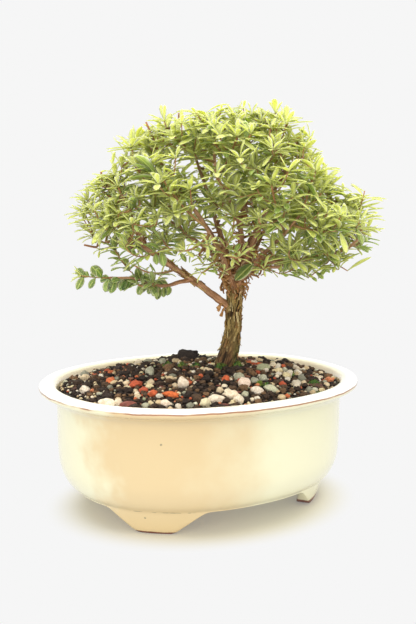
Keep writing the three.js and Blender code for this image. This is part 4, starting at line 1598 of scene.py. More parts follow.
@dataclass
class Canopy:
    """How the shoots lie: their tips spread evenly over the crown, their bases on the limbs."""

    reach: tuple[Span, ...] = (
        (-90, 18), (-34, 40), (-18, 72), (-6, 91), (4, 93), (28, 76), (40, 68), (54, 78), (84, 80),
        (113, 80), (146, 89), (173, 96), (197, 92), (213, 66), (235, 26), (270, 18),
    )
    outline: tuple[Span, ...] = (
        (-90, 20), (-46, 32), (-34, 51), (-22, 63), (-15, 60), (-10, 82), (-4, 93), (4, 97), (12, 94), (17, 84),
        (22, 68), (32, 75), (40, 68), (46, 72), (52, 80), (60, 84), (68, 85), (76, 80), (84, 81), (92, 76),
        (104, 75), (112, 80), (118, 87), (128, 92), (146, 93), (152, 76), (157, 92), (165, 100), (176, 102),
        (183, 94), (188, 92), (195, 92), (202, 86), (207, 85), (212, 73), (218, 61), (224, 57), (235, 30),
        (270, 20),
    )
    layers: tuple[tuple[int, float], ...] = ((43, 0.88), (5, 0.48))
    fill_layers: tuple[tuple[int, float], ...] = (
        (40, 0.3), (70, 0.42), (110, 0.55), (160, 0.68), (220, 0.8), (300, 0.9), (160, 0.62), (240, 0.85),
    )
    fill_gap: float = 12.0
    fill_lean: float = 0.55
    fill_climb: float = 0.6
    fill_reach: float = 30.0
    bare_heart: float = 0.55
    hollows: tuple[tuple[Point, float], ...] = (
        ((-2, -34, 206), 15), ((57, -22, 190), 17), ((57, 2, 189), 14), ((57, 26, 188), 13),
        ((-8, -34, 172), 15), ((48, -40, 200), 12), ((46, -10, 172), 12), ((2, -20, 170), 14),
        ((-20, -24, 163), 12),
    )
    # Painted light and shade on the crown: each spot's centre, radius and how much lighter, or darker where
    # less than 0, its leaves are painted.
    painted_light_spots: tuple[tuple[Point, float, float], ...] = (
        ((-50, -20, 195), 48, 0.7), ((38, -10, 232), 34, 0.1), ((20, -40, 176), 20, 0.5),
        ((85, -10, 178), 34, 0.35), ((-2, -12, 202), 32, -0.7), ((57, -4, 188), 26, -0.7),
        ((20, 0, 162), 34, -0.35), ((-22, 0, 166), 26, -0.3),
    )
    bare_left: Span = (2.0, 156.0)
    bare_fork: Span = (33.0, 167.0)
    depth: float = 65.0
    fullness: float = 0.68
    turn: float = 3.12
    shortest: float = 15.0
    base_pitch: float = 4.0
    bare_share: float = 0.34
    wood_clear: float = 3.4
    shoot_clear: float = 2.6
    climb_cost: float = 0.8
    crowded_within: float = 5.0
    crowded_cost: float = 14.0
    shoot_bend: float = 0.55
    shoot_sag: float = 0.16

    @staticmethod
    def at_angle(table: Sequence[Span], right: float, up: float) -> float:
        """Value of a table in a direction.

        Args:
            table: Angles in degrees, from -90, each with its value.
            right: The direction's share to the right.
            up: Its share upwards.

        Returns:
            The value between those of the two nearest angles.
        """
        angle = math.degrees(math.atan2(up, right))
        angles, values = zip(*table)
        return float(np.interp(angle + 360 if angle < angles[0] else angle, angles, values))

    def outwardness(self, place: Array) -> float:
        """How far out a place lies: about 1 at the crown's outline."""
        off = place - HEART
        reach = self.at_angle(self.reach, off[0], off[2])
        return math.hypot(math.hypot(off[0], off[2]) / reach, off[1] / self.depth)

    def past_outline(self, place: Array) -> float:
        """How far a place lies past the crown's outline, or less than 0 inside it."""
        off = place - HEART
        return math.hypot(off[0], off[2]) - self.at_angle(self.outline, off[0], off[2])

    @staticmethod
    def outward(place: Array) -> Array:
        """Level direction from the crown's heart to a place."""
        return unit((place - HEART) * LEVEL)

    def tips(self, layers: Sequence[tuple[int, float]], table: Sequence[Span]) -> list[Array]:
        """Points spread over the crown, layer by layer, with none at the trunk's fork.

        Args:
            layers: The number of draws in each layer, and its share of the crown's reach.
            table: The crown's reach, by angle in its upright plane.

        Returns:
            The points, in the tree's frame.
        """
        tips = []
        for layer, (draws, scale) in enumerate(layers):
            for k in range(draws):
                away = 1 - 2 * (k + 0.5) / draws
                side = math.sqrt(1 - away * away) ** self.fullness
                turn = k * GOLDEN_ANGLE + layer + self.turn
                right, up = side * math.cos(turn), side * math.sin(turn)
                reach = self.at_angle(table, right, up) * scale
                if up > -self.bare_heart or abs(away) > self.bare_heart:
                    tips.append(HEART + np.array([right * reach, away * self.depth * scale, up * reach]))
        return tips

    def painted_light_at(self, place: Array) -> float:
        """Painted light and shade at a place: how much lighter or darker the leaves there are painted than
        their age and lie make them.
        """
        return sum(amount * max(0.0, 1 - float(np.linalg.norm(place - np.array(centre))) / radius)
                   for centre, radius, amount in self.painted_light_spots)

    def in_hollow(self, place: Array) -> bool:
        """Whether a place lies in one of the crown's hollows."""
        return any(np.linalg.norm(place - np.array(centre)) < radius for centre, radius in self.hollows)

    def is_bare(self, place: Array) -> bool:
        """Whether no small twig ends at a place, as at the fork, in a hollow or over the lower left limb."""
        left = place[0] < self.bare_left[0] and place[2] < self.bare_left[1]
        fork = np.hypot(*(place - HEART)[:2]) < self.bare_fork[0] and place[2] < self.bare_fork[1]
        return bool(self.in_hollow(place) or left or fork)

    def bases(self) -> list[tuple[Array, int]]:
        """Places on the limbs where a shoot can start.

        Returns:
            Each place, with the limb's number.
        """
        bases = []
        for number, limb in enumerate(LIMBS):
            curve = limb.curve()
            count = round(curve.length / self.base_pitch)
            bases += [(curve.point(i / count), number)
                      for i in range(math.ceil(count * self.bare_share), count + 1)]
        return bases

    def shoots(self) -> list[Shoot]:
        """Every shoot, from the limb point that suits its tip best and leaves other wood clear.

        Returns:
            The shoots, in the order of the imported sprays.
        """
        bases = self.bases()
        places = np.array([point for point, _ in bases])
        wood = [(TRUNK.curve().points(24), -1)]
        wood += [(limb.curve().points(20), number) for number, limb in enumerate(LIMBS)]
        shoots: list[Shoot] = []
        lines: list[Array] = []
        starts: list[Array] = []
        for tip in self.tips(self.layers, self.reach):
            gaps = np.linalg.norm(places - tip, axis=1)
            costs = gaps + self.climb_cost * np.maximum(0, places[:, 2] - tip[2])
            if starts:
                near = np.linalg.norm(places[:, None] - np.array(starts)[None], axis=2).min(axis=1)
                costs = costs + np.where(near < self.crowded_within, self.crowded_cost, 0.0)
            for i in np.argsort(costs, kind="stable"):
                if gaps[i] <= self.shortest:
                    continue
                base, limb = bases[i]
                curve = bow(base, mix(base, tip, self.shoot_bend) - UP * self.shoot_sag * gaps[i], tip)
                line = curve.points(10)
                others = [points for points, number in wood if number != limb]
                if (any(self.nearest(line, points) < self.wood_clear for points in others)
                        or any(self.nearest(line, points) < self.shoot_clear for points in lines)):
                    continue
                shoots.append(Shoot(len(shoots), curve, limb))
                lines.append(line)
                starts.append(base)
                break
        return shoots

    @staticmethod
    def nearest(line: Array, points: Array) -> float:
        """Smallest distance between the points of two sets."""
        return float(np.linalg.norm(line[:, None] - points[None], axis=2).min())

    def offshoots(self, stems: Sequence[tuple[Array, int]]) -> list[tuple[Curve, int]]:
        """Small twigs that reach from the nearest stem into each place that is still empty.

        Args:
            stems: Points of the stems that stand already, with the number of the limb that carries them.

        Returns:
            Each twig's line, with the number of its limb.
        """
        points = np.vstack([line for line, _ in stems])
        owners = np.concatenate([[limb] * len(line) for line, limb in stems])
        grown = []
        for place in self.tips(self.fill_layers, self.outline):
            gaps = np.linalg.norm(points - place, axis=1)
            i = int(np.argmin(gaps + self.fill_climb * np.maximum(0, points[:, 2] - place[2] + 2)))
            if self.is_bare(place) or gaps.min() <= self.fill_gap or gaps[i] > self.fill_reach:
                continue
            rise = unit(UP + self.outward(place) * self.fill_lean)
            curve = bow(points[i], place - rise * self.shoot_bend * gaps[i], place)
            grown.append((curve, int(owners[i])))
            points = np.vstack([points, curve.points(5)[1:]])
            owners = np.concatenate([owners, [owners[i]] * 5])
        return grown


class Colours:
    """Greens of the crown, from the painted shade of its inside to its painted light and bright young ends."""

    marks = (0.0, 0.4, 0.75, 1.0)
    rows = np.array(shades("b0bd58", "c6cf66", "cad26a", "ccd474"))
    lime = rows[-1]
    low = np.array(shade("7f975c"))
    old = np.array(shade("6a8c48"))
    round_leaf = np.array(shade("586f3a"))

    @classmethod
    def leaf(cls, share: float) -> Array:
        """Colour at a share of the way from the darkest green, for painted shade, to the lightest, for painted
        light and youth.
        """
        return np.array([np.interp(share, cls.marks, cls.rows[:, n]) for n in range(3)])


@dataclass(frozen=True)
class LeafForm:
    """How finely a leaf's body is cut: its rows along it, and the points of each row across it."""

    rows: tuple[float, ...]
    stems: tuple[float, ...]

    def faces(self) -> tuple[list[Face], list[int]]:
        """Faces of the body.

        Returns:
            The corners of each face, and for each 0 on the upper side or 1 on the under side.
        """
        upper, under = [], []
        last = len(self.stems) - 1
        rib = last + 1
        step = last + 2
        for i in range(len(self.rows) - 1):
            a, b = i * step, (i + 1) * step
            upper += [(a + s, a + s + 1, b + s + 1, b + s) for s in range(last)]
            under += [(a, b, b + rib, a + rib), (a + rib, b + rib, b + last, a + last)]
        a, tip = (len(self.rows) - 1) * step, len(self.rows) * step
        upper += [(a + s, a + s + 1, tip) for s in range(last)]
        under += [(a, tip, a + rib), (a + rib, tip, a + last), (0, rib, *range(last, 0, -1))]
        return upper + under, [0] * len(upper) + [1] * len(under)


FINE_LEAF = LeafForm((0.0, 0.12, 0.3, 0.5, 0.7, 0.88), (-1.0, -0.5, 0.0, 0.5, 1.0))
PLAIN_LEAF = LeafForm((0.0, 0.16, 0.42, 0.7, 0.9), (-1.0, 0.0, 1.0))
LEAF_FACES = {form: form.faces() for form in (FINE_LEAF, PLAIN_LEAF)}


@dataclass
class Leaf:
    """A leaf's place, directions, size and colours, in the tree's frame."""

    root: Array
    along: Array
    face: Array
    length: float
    width: float
    droop: float
    tint: Array
    roundness: float = 0.0
    form: LeafForm = FINE_LEAF

    ways = (0.0, 0.12, 0.3, 0.5, 0.7, 0.88, 1.0)
    narrow = (0.12, 0.28, 0.68, 0.96, 0.97, 0.62, 0.0)
    rounded = (0.12, 0.4, 0.86, 1.0, 0.92, 0.6, 0.0)
    fold = 0.26
    curl = 0.45
    thickness = 0.3
    arch = 0.8 * math.pi

    def add_to(self, skin: Skin) -> None:
        """Adds the leaf as a closed body with a folded, slightly arched blade.

        Args:
            skin: The mesh that it is added to.
        """
        across = np.cross(self.along, self.face)
        rows = np.array(self.form.rows)
        halves = mix(np.interp(rows, self.ways, self.narrow), np.interp(rows, self.ways, self.rounded),
                     self.roundness) * self.width / 2
        lifts = self.droop * self.length * np.sin(rows * self.arch)
        points, places = [], []
        for t, half, lift in zip(rows, halves, lifts):
            centre = self.root + self.along * (t * self.length) + self.face * lift
            for s in self.form.stems:
                rise = half * self.fold * (abs(s) - self.curl * max(0.0, 2 * abs(s) - 1))
                points.append(centre + across * (s * half) + self.face * rise)
                places.append((s / 2 + 0.5, t))
            points.append(centre - self.face * self.thickness)
            places.append((0.5, t))
        last_lift = self.droop * self.length * math.sin(self.arch)
        points.append(self.root + self.along * self.length + self.face * last_lift)
        places.append((0.5, 1.0))
        faces, sides = LEAF_FACES[self.form]
        skin.add(from_tree(np.array(points)), faces, self.tint, np.array(places), sides)

    def spread(self) -> Array:
        """Its tip and the ends of its widest part.

        Returns:
            The three points, in the pot's frame.
        """
        across = np.cross(self.along, self.face) * self.width / 2
        middle = self.root + self.along * self.length * 0.6
        tip = self.root + self.along * self.length + self.face * self.droop * self.length
        return from_tree(np.array([tip, middle + across, middle - across]))


@dataclass(frozen=True)
class Whorls:
    """How a stem is clad: leaves to a whorl and at its end, the way between whorls, and leaf lengths."""

    leaves: int
    rosette: int
    pitch: float
    shortest: float
    longest: float


@dataclass
class Foliage(Piece):
    """Stems with leaves on them, gathered into one object."""

    canopy: Canopy
    number: int
    limb: int
    form: LeafForm = FINE_LEAF
    edge_gap: float = 0.4
    flatness: Span = (0.5, 0.85)
    young_from: float = 0.4
    old_share: float = 0.14
    old_width: float = 1.25
    low_width: float = 1.6
    shade_top: float = 178.0
    shade_depth: float = 55.0
    hollow_share: float = 0.55
    farthest_out: float = 2.5
    short_outside: float = 0.7
    leaf_foot: float = 0.25
    stem_tints: tuple[Colour, ...] = shades("b39158", "dd9a6c")
    skin: Skin = field(default_factory=Skin)
    drawn: int = 0
    tone: float = 0.0

    def draw(self, series: float) -> float:
        """Next draw of this piece."""
        self.drawn += 1
        return draw(self.number * 613 + self.drawn, series)

    def stem(self, curve: Curve, start: float, end: float) -> None:
        """A stem that tapers, green brown with a reddish end."""
        self.skin.tube(curve, max(4, int(curve.length / 3)), 6, taper(start, end), *self.stem_tints, 1.5, 2)

    def colour(self, tip: Array, rise: float, youth: float) -> tuple[Array, float]:
        """Colour of a leaf by its age, with painted light and shade by its place and lie.

        Args:
            tip: Place of its tip.
            rise: How steeply it rises, from -1 to 1.
            youth: From 0 for an old leaf to 1 for a young one.

        Returns:
            The colour, and how much wider than a young leaf it is.
        """
        # Painted light and shade: leaves far out, rising or in a light spot are lighter, those deep in the
        # crown darker; youth and tone are the leaf's own.
        light = 0.6 * (self.canopy.outwardness(tip) - 0.3) + 0.4 * youth + 0.1 * rise
        light += 0.22 * (self.draw(5) - 0.5) + 0.5 * self.tone + self.canopy.painted_light_at(tip)
        tint = Colours.leaf(clamped(light))
        if self.limb == LOWER_LEFT_LIMB:
            return mix(Colours.low, tint, 0.15), self.low_width
        # Lower in the crown more leaves take the old, dark green: older leaves there, and painted shade.
        old_share = self.old_share + max(0.0, (self.shade_top - tip[2]) / self.shade_depth)
        if youth < self.young_from and self.draw(12) < old_share:
            return mix(Colours.old, tint, 0.2), self.old_width
        return tint, 1.0

    def leaf(self, spot: Frame, out: Array, tilt: float, length: float, width: float, youth: float) -> None:
        """A leaf at a place on a stem, left out where it would leave the crown.

        Args:
            spot: The place on the stem.
            out: Direction away from the stem.
            tilt: Angle in radians by which the leaf leans towards the stem's end.
            length: Its length.
            width: Its width, as a share of its length.
            youth: From 0 for an old leaf to 1 for a young one.
        """
        rise = 0.16 * youth - 0.2 * self.draw(3)
        along = unit(out * math.cos(tilt) + spot.axis * math.sin(tilt) + UP * rise)
        along = unit(along * np.array([1.0, 1.0, mix(*self.flatness, youth ** 2)]))
        face = facing(along, spot.axis * 0.35 + UP + out * (self.draw(4) - 0.5) * 0.5)
        root = spot.centre + out * self.leaf_foot
        tip = root + along * length
        over = self.canopy.past_outline(tip)
        if over > self.farthest_out or (self.canopy.in_hollow(tip) and self.draw(33) < self.hollow_share):
            return
        if over > 0:
            length *= self.short_outside
        tint, wider = self.colour(tip, along[2], youth)
        roundness = float(self.limb == LOWER_LEFT_LIMB)
        leaf = Leaf(root, along, face, length, length * width * wider, mix(0.0, 0.16, self.draw(6)), tint,
                    roundness, self.form)
        ends = leaf.spread() + POT_CENTRE
        low_end, high_end = (np.array(corner) / MM for corner in cad_box)
        if np.all(ends > low_end + self.edge_gap) and np.all(ends < high_end - self.edge_gap):
            leaf.add_to(self.skin)

    def whorls(self, curve: Curve, start: float, plan: Whorls) -> None:
        """Leaves along a stem, and a rosette at its end.

        Args:
            curve: The stem.
            start: Share of its length at which the leaves start.
            plan: How it is clad.
        """
        self.tone = self.draw(31) - 0.5
        size = mix(0.82, 1.2, self.draw(32))
        count = max(1, int(curve.length * (1 - start) / plan.pitch))
        shares = [mix(start, 0.93, i / count) for i in range(count)] + [0.985]
        for number, spot in enumerate(frames_along(curve, shares)):
            at_end = number == count
            leaves = plan.rosette if at_end else plan.leaves
            turn = number * GOLDEN_ANGLE + self.draw(9) * 0.6
            for i in range(leaves):
                angle = turn + 2 * math.pi * (i + 0.35 * (self.draw(1) - 0.5)) / leaves
                if at_end:
                    ring = i % 2
                    tilt = math.radians(mix(10, 50, ring) + 22 * (self.draw(2) - 0.5))
                    length = plan.longest * mix(1.0, 0.68, ring) * mix(0.8, 1.1, self.draw(7))
                    youth = mix(0.7, 1.0, ring)
                else:
                    tilt = math.radians(mix(4, 34, self.draw(2)))
                    length = mix(plan.shortest, plan.longest, self.draw(7))
                    youth = 0.35 * number / count
                self.leaf(spot, spot.out(angle), tilt, size * length, mix(0.25, 0.34, self.draw(8)), youth)


@dataclass
class Spray(Foliage):
    """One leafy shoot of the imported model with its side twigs, made finely."""

    shoot: Shoot | None = None
    side_shares: tuple[float, ...] = (0.3, 0.42, 0.66, 0.82)
    main_plan: Whorls = Whorls(3, 9, 3.9, 10.0, 16.5)
    twig_plan: Whorls = Whorls(3, 7, 3.8, 9.5, 14.0)
    sparse_plan: Whorls = Whorls(2, 5, 4.0, 5.5, 8.5)
    sparse_below: float = 160.0
    sparse_left_of: float = 50.0

    def twigs(self) -> list[Curve]:
        """Side twigs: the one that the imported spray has, and smaller ones.

        Returns:
            Their lines.
        """
        twigs = [self.shoot.twig()]
        for i, spot in enumerate(frames_along(self.shoot.curve, self.side_shares)):
            reach = self.shoot.curve.length * 0.22 + mix(5, 9, self.draw(11))
            out = spot.out(2.4 * i + 6 * draw(self.number, 15))
            middle = spot.centre + (spot.axis * 0.5 + out * 0.85) * reach * 0.5
            end = middle + (spot.axis * 0.45 + out * 0.35 + UP * 0.65) * reach * 0.55
            twigs.append(bow(spot.centre, middle, end))
        return twigs

    def make(self) -> list[Curve]:
        """Builds the spray.

        Returns:
            The lines of its stems.
        """
        tip = self.shoot.curve.point(1)
        sparse = self.limb == LOWER_LEFT_LIMB or (tip[2] < self.sparse_below and tip[0] < self.sparse_left_of)
        main_plan, twig_plan = (self.sparse_plan,) * 2 if sparse else (self.main_plan, self.twig_plan)
        twigs = self.twigs()[:2 if sparse else None]
        self.stem(self.shoot.curve, 0.85, 0.45)
        self.whorls(self.shoot.curve, 0.3, main_plan)
        for twig in twigs:
            self.stem(twig, 0.42, 0.3)
            self.whorls(twig, 0.3, twig_plan)
        name = f"leafy_spray_{self.number + 1:02d}"
        self.dress(self.skin.build(f"fine_{name}", leaf_finishes()), "leaf", name)
        return [self.shoot.curve, *twigs]


@cache
def leaf_finishes() -> list[bpy.types.Material]:
    """The leaves' upper side, their under side and the stems, made once.

    Returns:
        The three materials.
    """
    stem = Bark("green_stem", 0.7, 0.35, along=20.0, around=16.0, deep=shade("6c4c2c"), ridge=shade("d9a878"),
                ridge_share=0.3, relief=0.0002)
    finishes = Blade("leaf_upper", 0.55, 0.35), Blade("leaf_under", 0.65, 0.25, margin=0.4, rib=0.6), stem
    return [finish.material() for finish in finishes]


@dataclass
class Crown(Piece):
    """All the sprays, and the small twigs that fill the crown between them."""

    canopy: Canopy = field(default_factory=Canopy)
    fill_plan: Whorls = Whorls(3, 7, 3.7, 9.0, 13.5)
    rosette_plan: Whorls = Whorls(5, 11, 4.5, 12.0, 17.0)
    rosettes: tuple[Point, ...] = (
        (19.4, -40, 176.6), (-28.6, -38, 203.8), (-58, -15, 194), (36, -12, 231), (74, -15, 196),
        (-34, -42, 186), (-14, -52, 178), (-40, -20, 216), (8, -30, 226), (60, -40, 176), (88, -22, 178),
        (-70, -10, 178),
    )
    cut_twigs: tuple[tuple[Point, Point], ...] = (
        ((-32.0, -11.3, 231.3), (-25.1, -9.3, 214.5)), ((-12.5, -11.3, 236.5), (-13.2, -9.3, 229.7)),
        ((14.6, -11.3, 232.4), (14.6, -9.3, 226.8)), ((37.6, -11.3, 233.6), (44.9, -9.3, 220.4)),
        ((41.9, -26.1, 219.8), (39.2, -24.1, 212.6)), ((-58.9, -11.3, 202.2), (-58.1, -9.3, 195.1)),
        ((-58.5, -11.3, 191.0), (-49.9, -9.3, 185.1)), ((-18.4, -40.2, 197.9), (-25.3, -38.2, 192.9)),
        ((-69.8, -11.3, 158.9), (-62.3, -9.3, 157.6)), ((51.7, -11.3, 231.3), (49.6, -9.3, 225.6)),
        ((60.1, -11.3, 223.7), (55.0, -9.3, 220.4)), ((80.7, -24.4, 183.9), (78.9, -22.4, 174.1)),
    )
    cut_tints: tuple[Colour, ...] = shades("8d6a43", "cf8f66")
    big_leaf: tuple[Point, Point] = (
        (31.8, -15.0, 148.4), (20.6, -17.5, 137.8))
    big_leaf_width: float = 8.2
    big_leaf_limb: int = 3
    low_tip: tuple[Point, Point] = (
        (-61.0, -22.5, 140.0), (-70.0, -24.5, 141.5))

    def make(self) -> None:
        """Builds every spray, then the twigs between them, one object for each limb."""
        stems = []
        for number, limb in enumerate(LIMBS):
            count = int(limb.curve().length / 4)
            stems.append((limb.curve().points(count)[int(count * 0.22):], number))
        for shoot in self.canopy.shoots():
            lines = Spray(self.canopy, shoot.number, shoot.limb, shoot=shoot).make()
            stems += [(line.points(6), shoot.limb) for line in lines]
        fill = [Foliage(self.canopy, 100 + number, number, PLAIN_LEAF) for number in range(len(LIMBS))]
        twigs = self.canopy.offshoots(stems)
        for curve, limb in twigs:
            fill[limb].stem(curve, 0.45, 0.3)
            fill[limb].whorls(curve, 0.15, self.fill_plan)
        points = np.vstack([line for line, _ in stems])
        self.show_rosettes(fill[0], points)
        self.low_leaves(fill[LOWER_LEFT_LIMB])
        self.cut(np.vstack([points, *(curve.points(5) for curve, _ in twigs)]))
        self.show_big_leaf(fill[self.big_leaf_limb], points)
        for number, foliage in enumerate(fill):
            if foliage.skin.count:
                self.dress(foliage.skin.build(f"small_twigs_{number + 1:02d}", leaf_finishes()), "leaf")
        LOG.info("%d small twigs", len(twigs))

    def show_rosettes(self, foliage: Foliage, points: Array) -> None:
        """Large pale rosettes that stand out of the crown, each on a twig from the nearest stem.

        Args:
            foliage: The foliage that they are added to.
            points: Points of the stems.
        """
        for place in self.rosettes:
            end = np.array(place)
            foot = nearest_to(points, end - UP * 6)
            rise = unit(UP + self.canopy.outward(end) * 0.7)
            line = bow(foot, end - rise * 0.5 * float(np.linalg.norm(end - foot)), end)
            foliage.stem(line, 0.6, 0.4)
            foliage.whorls(line, 0.45, self.rosette_plan)

    def show_big_leaf(self, foliage: Foliage, points: Array) -> None:
        """The large dark leaf in front of the fork, on a stalk from the nearest stem.

        Args:
            foliage: The foliage that it is added to.
            points: Points of the stems.
        """
        root, tip = np.array(self.big_leaf)
        along = unit(tip - root)
        foot = nearest_to(points, root)
        foliage.stem(bow(foot, mix(foot, root, 0.5) + UP, root), 0.5, 0.4)
        Leaf(root, along, facing(along, np.array([-0.3, -0.8, 0.5])), float(np.linalg.norm(tip - root)),
             self.big_leaf_width, 0.04, Colours.round_leaf, 1.0).add_to(foliage.skin)

    def low_leaves(self, foliage: Foliage) -> None:
        """Pairs of round dark leaves along the lower left limb, and a pale young tip beyond it.

        Args:
            foliage: The foliage that they are added to.
        """
        limb = LIMBS[LOWER_LEFT_LIMB].curve()
        tip = bow(limb.point(1), *np.array(self.low_tip))
        foliage.stem(tip, 0.5, 0.3)
        spots = frames_along(limb, np.linspace(0.3, 0.99, 13)) + frames_along(tip, np.linspace(0.25, 0.9, 4))
        for spot in spots:
            side = unit(np.cross(spot.axis, UP))
            for way in (-1, 1):
                hang = mix(-0.95, 0.55, foliage.draw(21))
                along = unit(side * way * mix(0.25, 0.8, foliage.draw(22)) + UP * hang + spot.axis * 0.35)
                length = mix(7.5, 11.0, foliage.draw(23))
                tint = mix(Colours.low, Colours.old, foliage.draw(24)) * mix(0.55, 0.95, foliage.draw(25))
                Leaf(spot.centre + along * 0.4, along, facing(along, UP * 0.5 - AWAY), length,
                     length * mix(0.5, 0.64, foliage.draw(26)), 0.05, tint, 1.0).add_to(foliage.skin)
        end = tip.frame(0.99)
        for turn in range(5):
            along = unit(end.out(turn * 1.26) * 0.75 + end.axis * 0.8)
            Leaf(end.centre, along, facing(along, UP), 7.5, 2.3, 0.08, Colours.lime, 0.2).add_to(foliage.skin)

    def cut(self, points: Array) -> None:
        """Bare reddish ends of twigs that were cut, each grown from the nearest stem.

        Args:
            points: Points of the stems.
        """
        skin = Skin()
        for end, below in np.array(self.cut_twigs):
            foot = nearest_to(points, below)
            line = through([foot, mix(foot, below, 0.8), below, end])
            skin.tube(line, 12, 8, taper(0.75, 0.6), *self.cut_tints)
        self.dress(skin.build("cut_twigs", [leaf_finishes()[2]]), "bark")


@dataclass
class Screens(Piece):
    """The plastic meshes over the drainage holes."""

    size: float = 26.0
    bars: int = 11
    half_bar: float = 0.42
    tint: Colour = shade("2e3330")

    def make(self) -> None:
        """Builds both screens as lattices of round bars."""
        plastic = Grain("dark_plastic", 0.5, deep=shade("171b19"), scale=300.0, amount=0.3, relief=0.0001)
        reach = self.size / 2 - self.half_bar
        x, y = np.eye(3)[:2]
        for name in ("drain_screen_left", "drain_screen_right"):
            skin = Skin()
            centre = middle_of(name) - POT_CENTRE
            for off in np.linspace(-reach, reach, self.bars):
                for along, across in ((x, y), (y, x)):
                    ends = centre + across * off + along * reach, centre + across * off - along * reach
                    line = Curve(lambda t, ends=ends: mix(*ends, t))
                    skin.tube(line, 1, 8, taper(self.half_bar, self.half_bar), self.tint, of_tree=False)
            self.dress(skin.build(f"fine_{name}", [plastic.material()]), "screen", name)


@dataclass
class Moss(Piece):
    """Moss at the trunk's foot and on the gravel, and thin stalks in it."""

    bed: Bed
    tufts: tuple[tuple[float, float, float, int], ...] = (
        (22.0, -7.5, 4.2, 190), (19.0, -12.5, 3.2, 120), (12.0, -9.0, 2.6, 80), (7.4, -9.8, 2.0, 50),
        (11.8, -48.8, 2.2, 60), (13.7, -53.2, 1.8, 40), (48.1, -29.3, 2.2, 50), (50.7, -50.3, 4.0, 130),
        (38.6, -71.0, 2.6, 60), (-16.1, 13.2, 3.2, 60), (-10.0, 6.0, 3.2, 60), (-4.2, -1.5, 3.2, 60),
    )
    greens: tuple[Colour, ...] = shades("7d9a35", "5a8038", "a3b04a", "4e8a50")
    blade_width: float = 0.34
    stalks: int = 26
    stalk_width: float = 0.17
    stalk_tint: Colour = shade("8f7a4a")

    def on_bed(self, x: float, y: float, lift: float = 0.0) -> Array:
        """Point on the bed, or over it by a lift."""
        return np.array([x, y, self.bed.height(x, y) + lift])

    def blade(self, skin: Skin, number: int, tuft: tuple[float, float, float, int], greens: int) -> None:
        """One blade of a tuft, taller in the tuft's middle.

        Args:
            skin: The mesh that it is added to.
            number: Its number, for its draws.
            tuft: The tuft's place, spread and number of blades.
            greens: Number of the tuft's first green.
        """
        x, y, spread, _ = tuft
        out = spread * math.sqrt(draw(number, 201))
        turn = 2 * math.pi * draw(number, 202)
        top = 2.6 * (1 - (out / spread) ** 2) + 0.8
        root = self.on_bed(x + out * math.cos(turn), y + out * math.sin(turn), -0.4)
        lean = np.array([draw(number, 203) - 0.5, draw(number, 204) - 0.5, 0.0]) * 2.2
        end = root + lean + UP * (top + 0.9 * draw(number, 205))
        tint = np.array(self.greens[(greens + int(3 * draw(number, 206))) % len(self.greens)])
        skin.tube(bow(root, root + UP * top * 0.7, end), 2, 3, taper(self.blade_width, self.blade_width / 4),
                  tint * mix(0.7, 1.2, draw(number, 207)), of_tree=False)

    def stalk(self, skin: Skin, number: int) -> None:
        """One dry stalk that leans somewhere about the trunk's foot.

        Args:
            skin: The mesh that it is added to.
            number: Its number, for its draws.
        """
        turn = 2 * math.pi * draw(number, 211)
        off = mix(6, 15, draw(number, 212))
        x, y = self.bed.trunk_foot
        root = self.on_bed(x + off * math.cos(turn), y + off * math.sin(turn))
        side = np.array([draw(number, 213) - 0.5, draw(number, 214) - 0.5, 0.0]) * 9
        end = root + side + UP * mix(1.0, 5.0, draw(number, 215))
        skin.tube(bow(root, root + side * 0.3 + UP * 3, end), 6, 5, taper(self.stalk_width, self.stalk_width),
                  self.stalk_tint, of_tree=False)

    def make(self) -> None:
        """Builds the moss's blades and the stalks."""
        green, dry = Skin(), Skin()
        number = 0
        for n, tuft in enumerate(self.tufts):
            for _ in range(tuft[3]):
                number += 1
                self.blade(green, number, tuft, n)
        for number in range(self.stalks):
            self.stalk(dry, number)
        moss = Bark("moss", 0.8, 0.3, along=6.0, around=6.0, deep=shade("3c4f1c"), ridge=shade("c9cf7a"),
                    ridge_share=0.3, relief=0.0001)
        straw = Bark("straw", 0.8, 0.3, along=8.0, around=5.0, relief=0.0001)
        self.dress(green.build("moss_tufts", [moss.material()]), "leaf")
        self.dress(dry.build("dry_stalks", [straw.material()]), "bark")


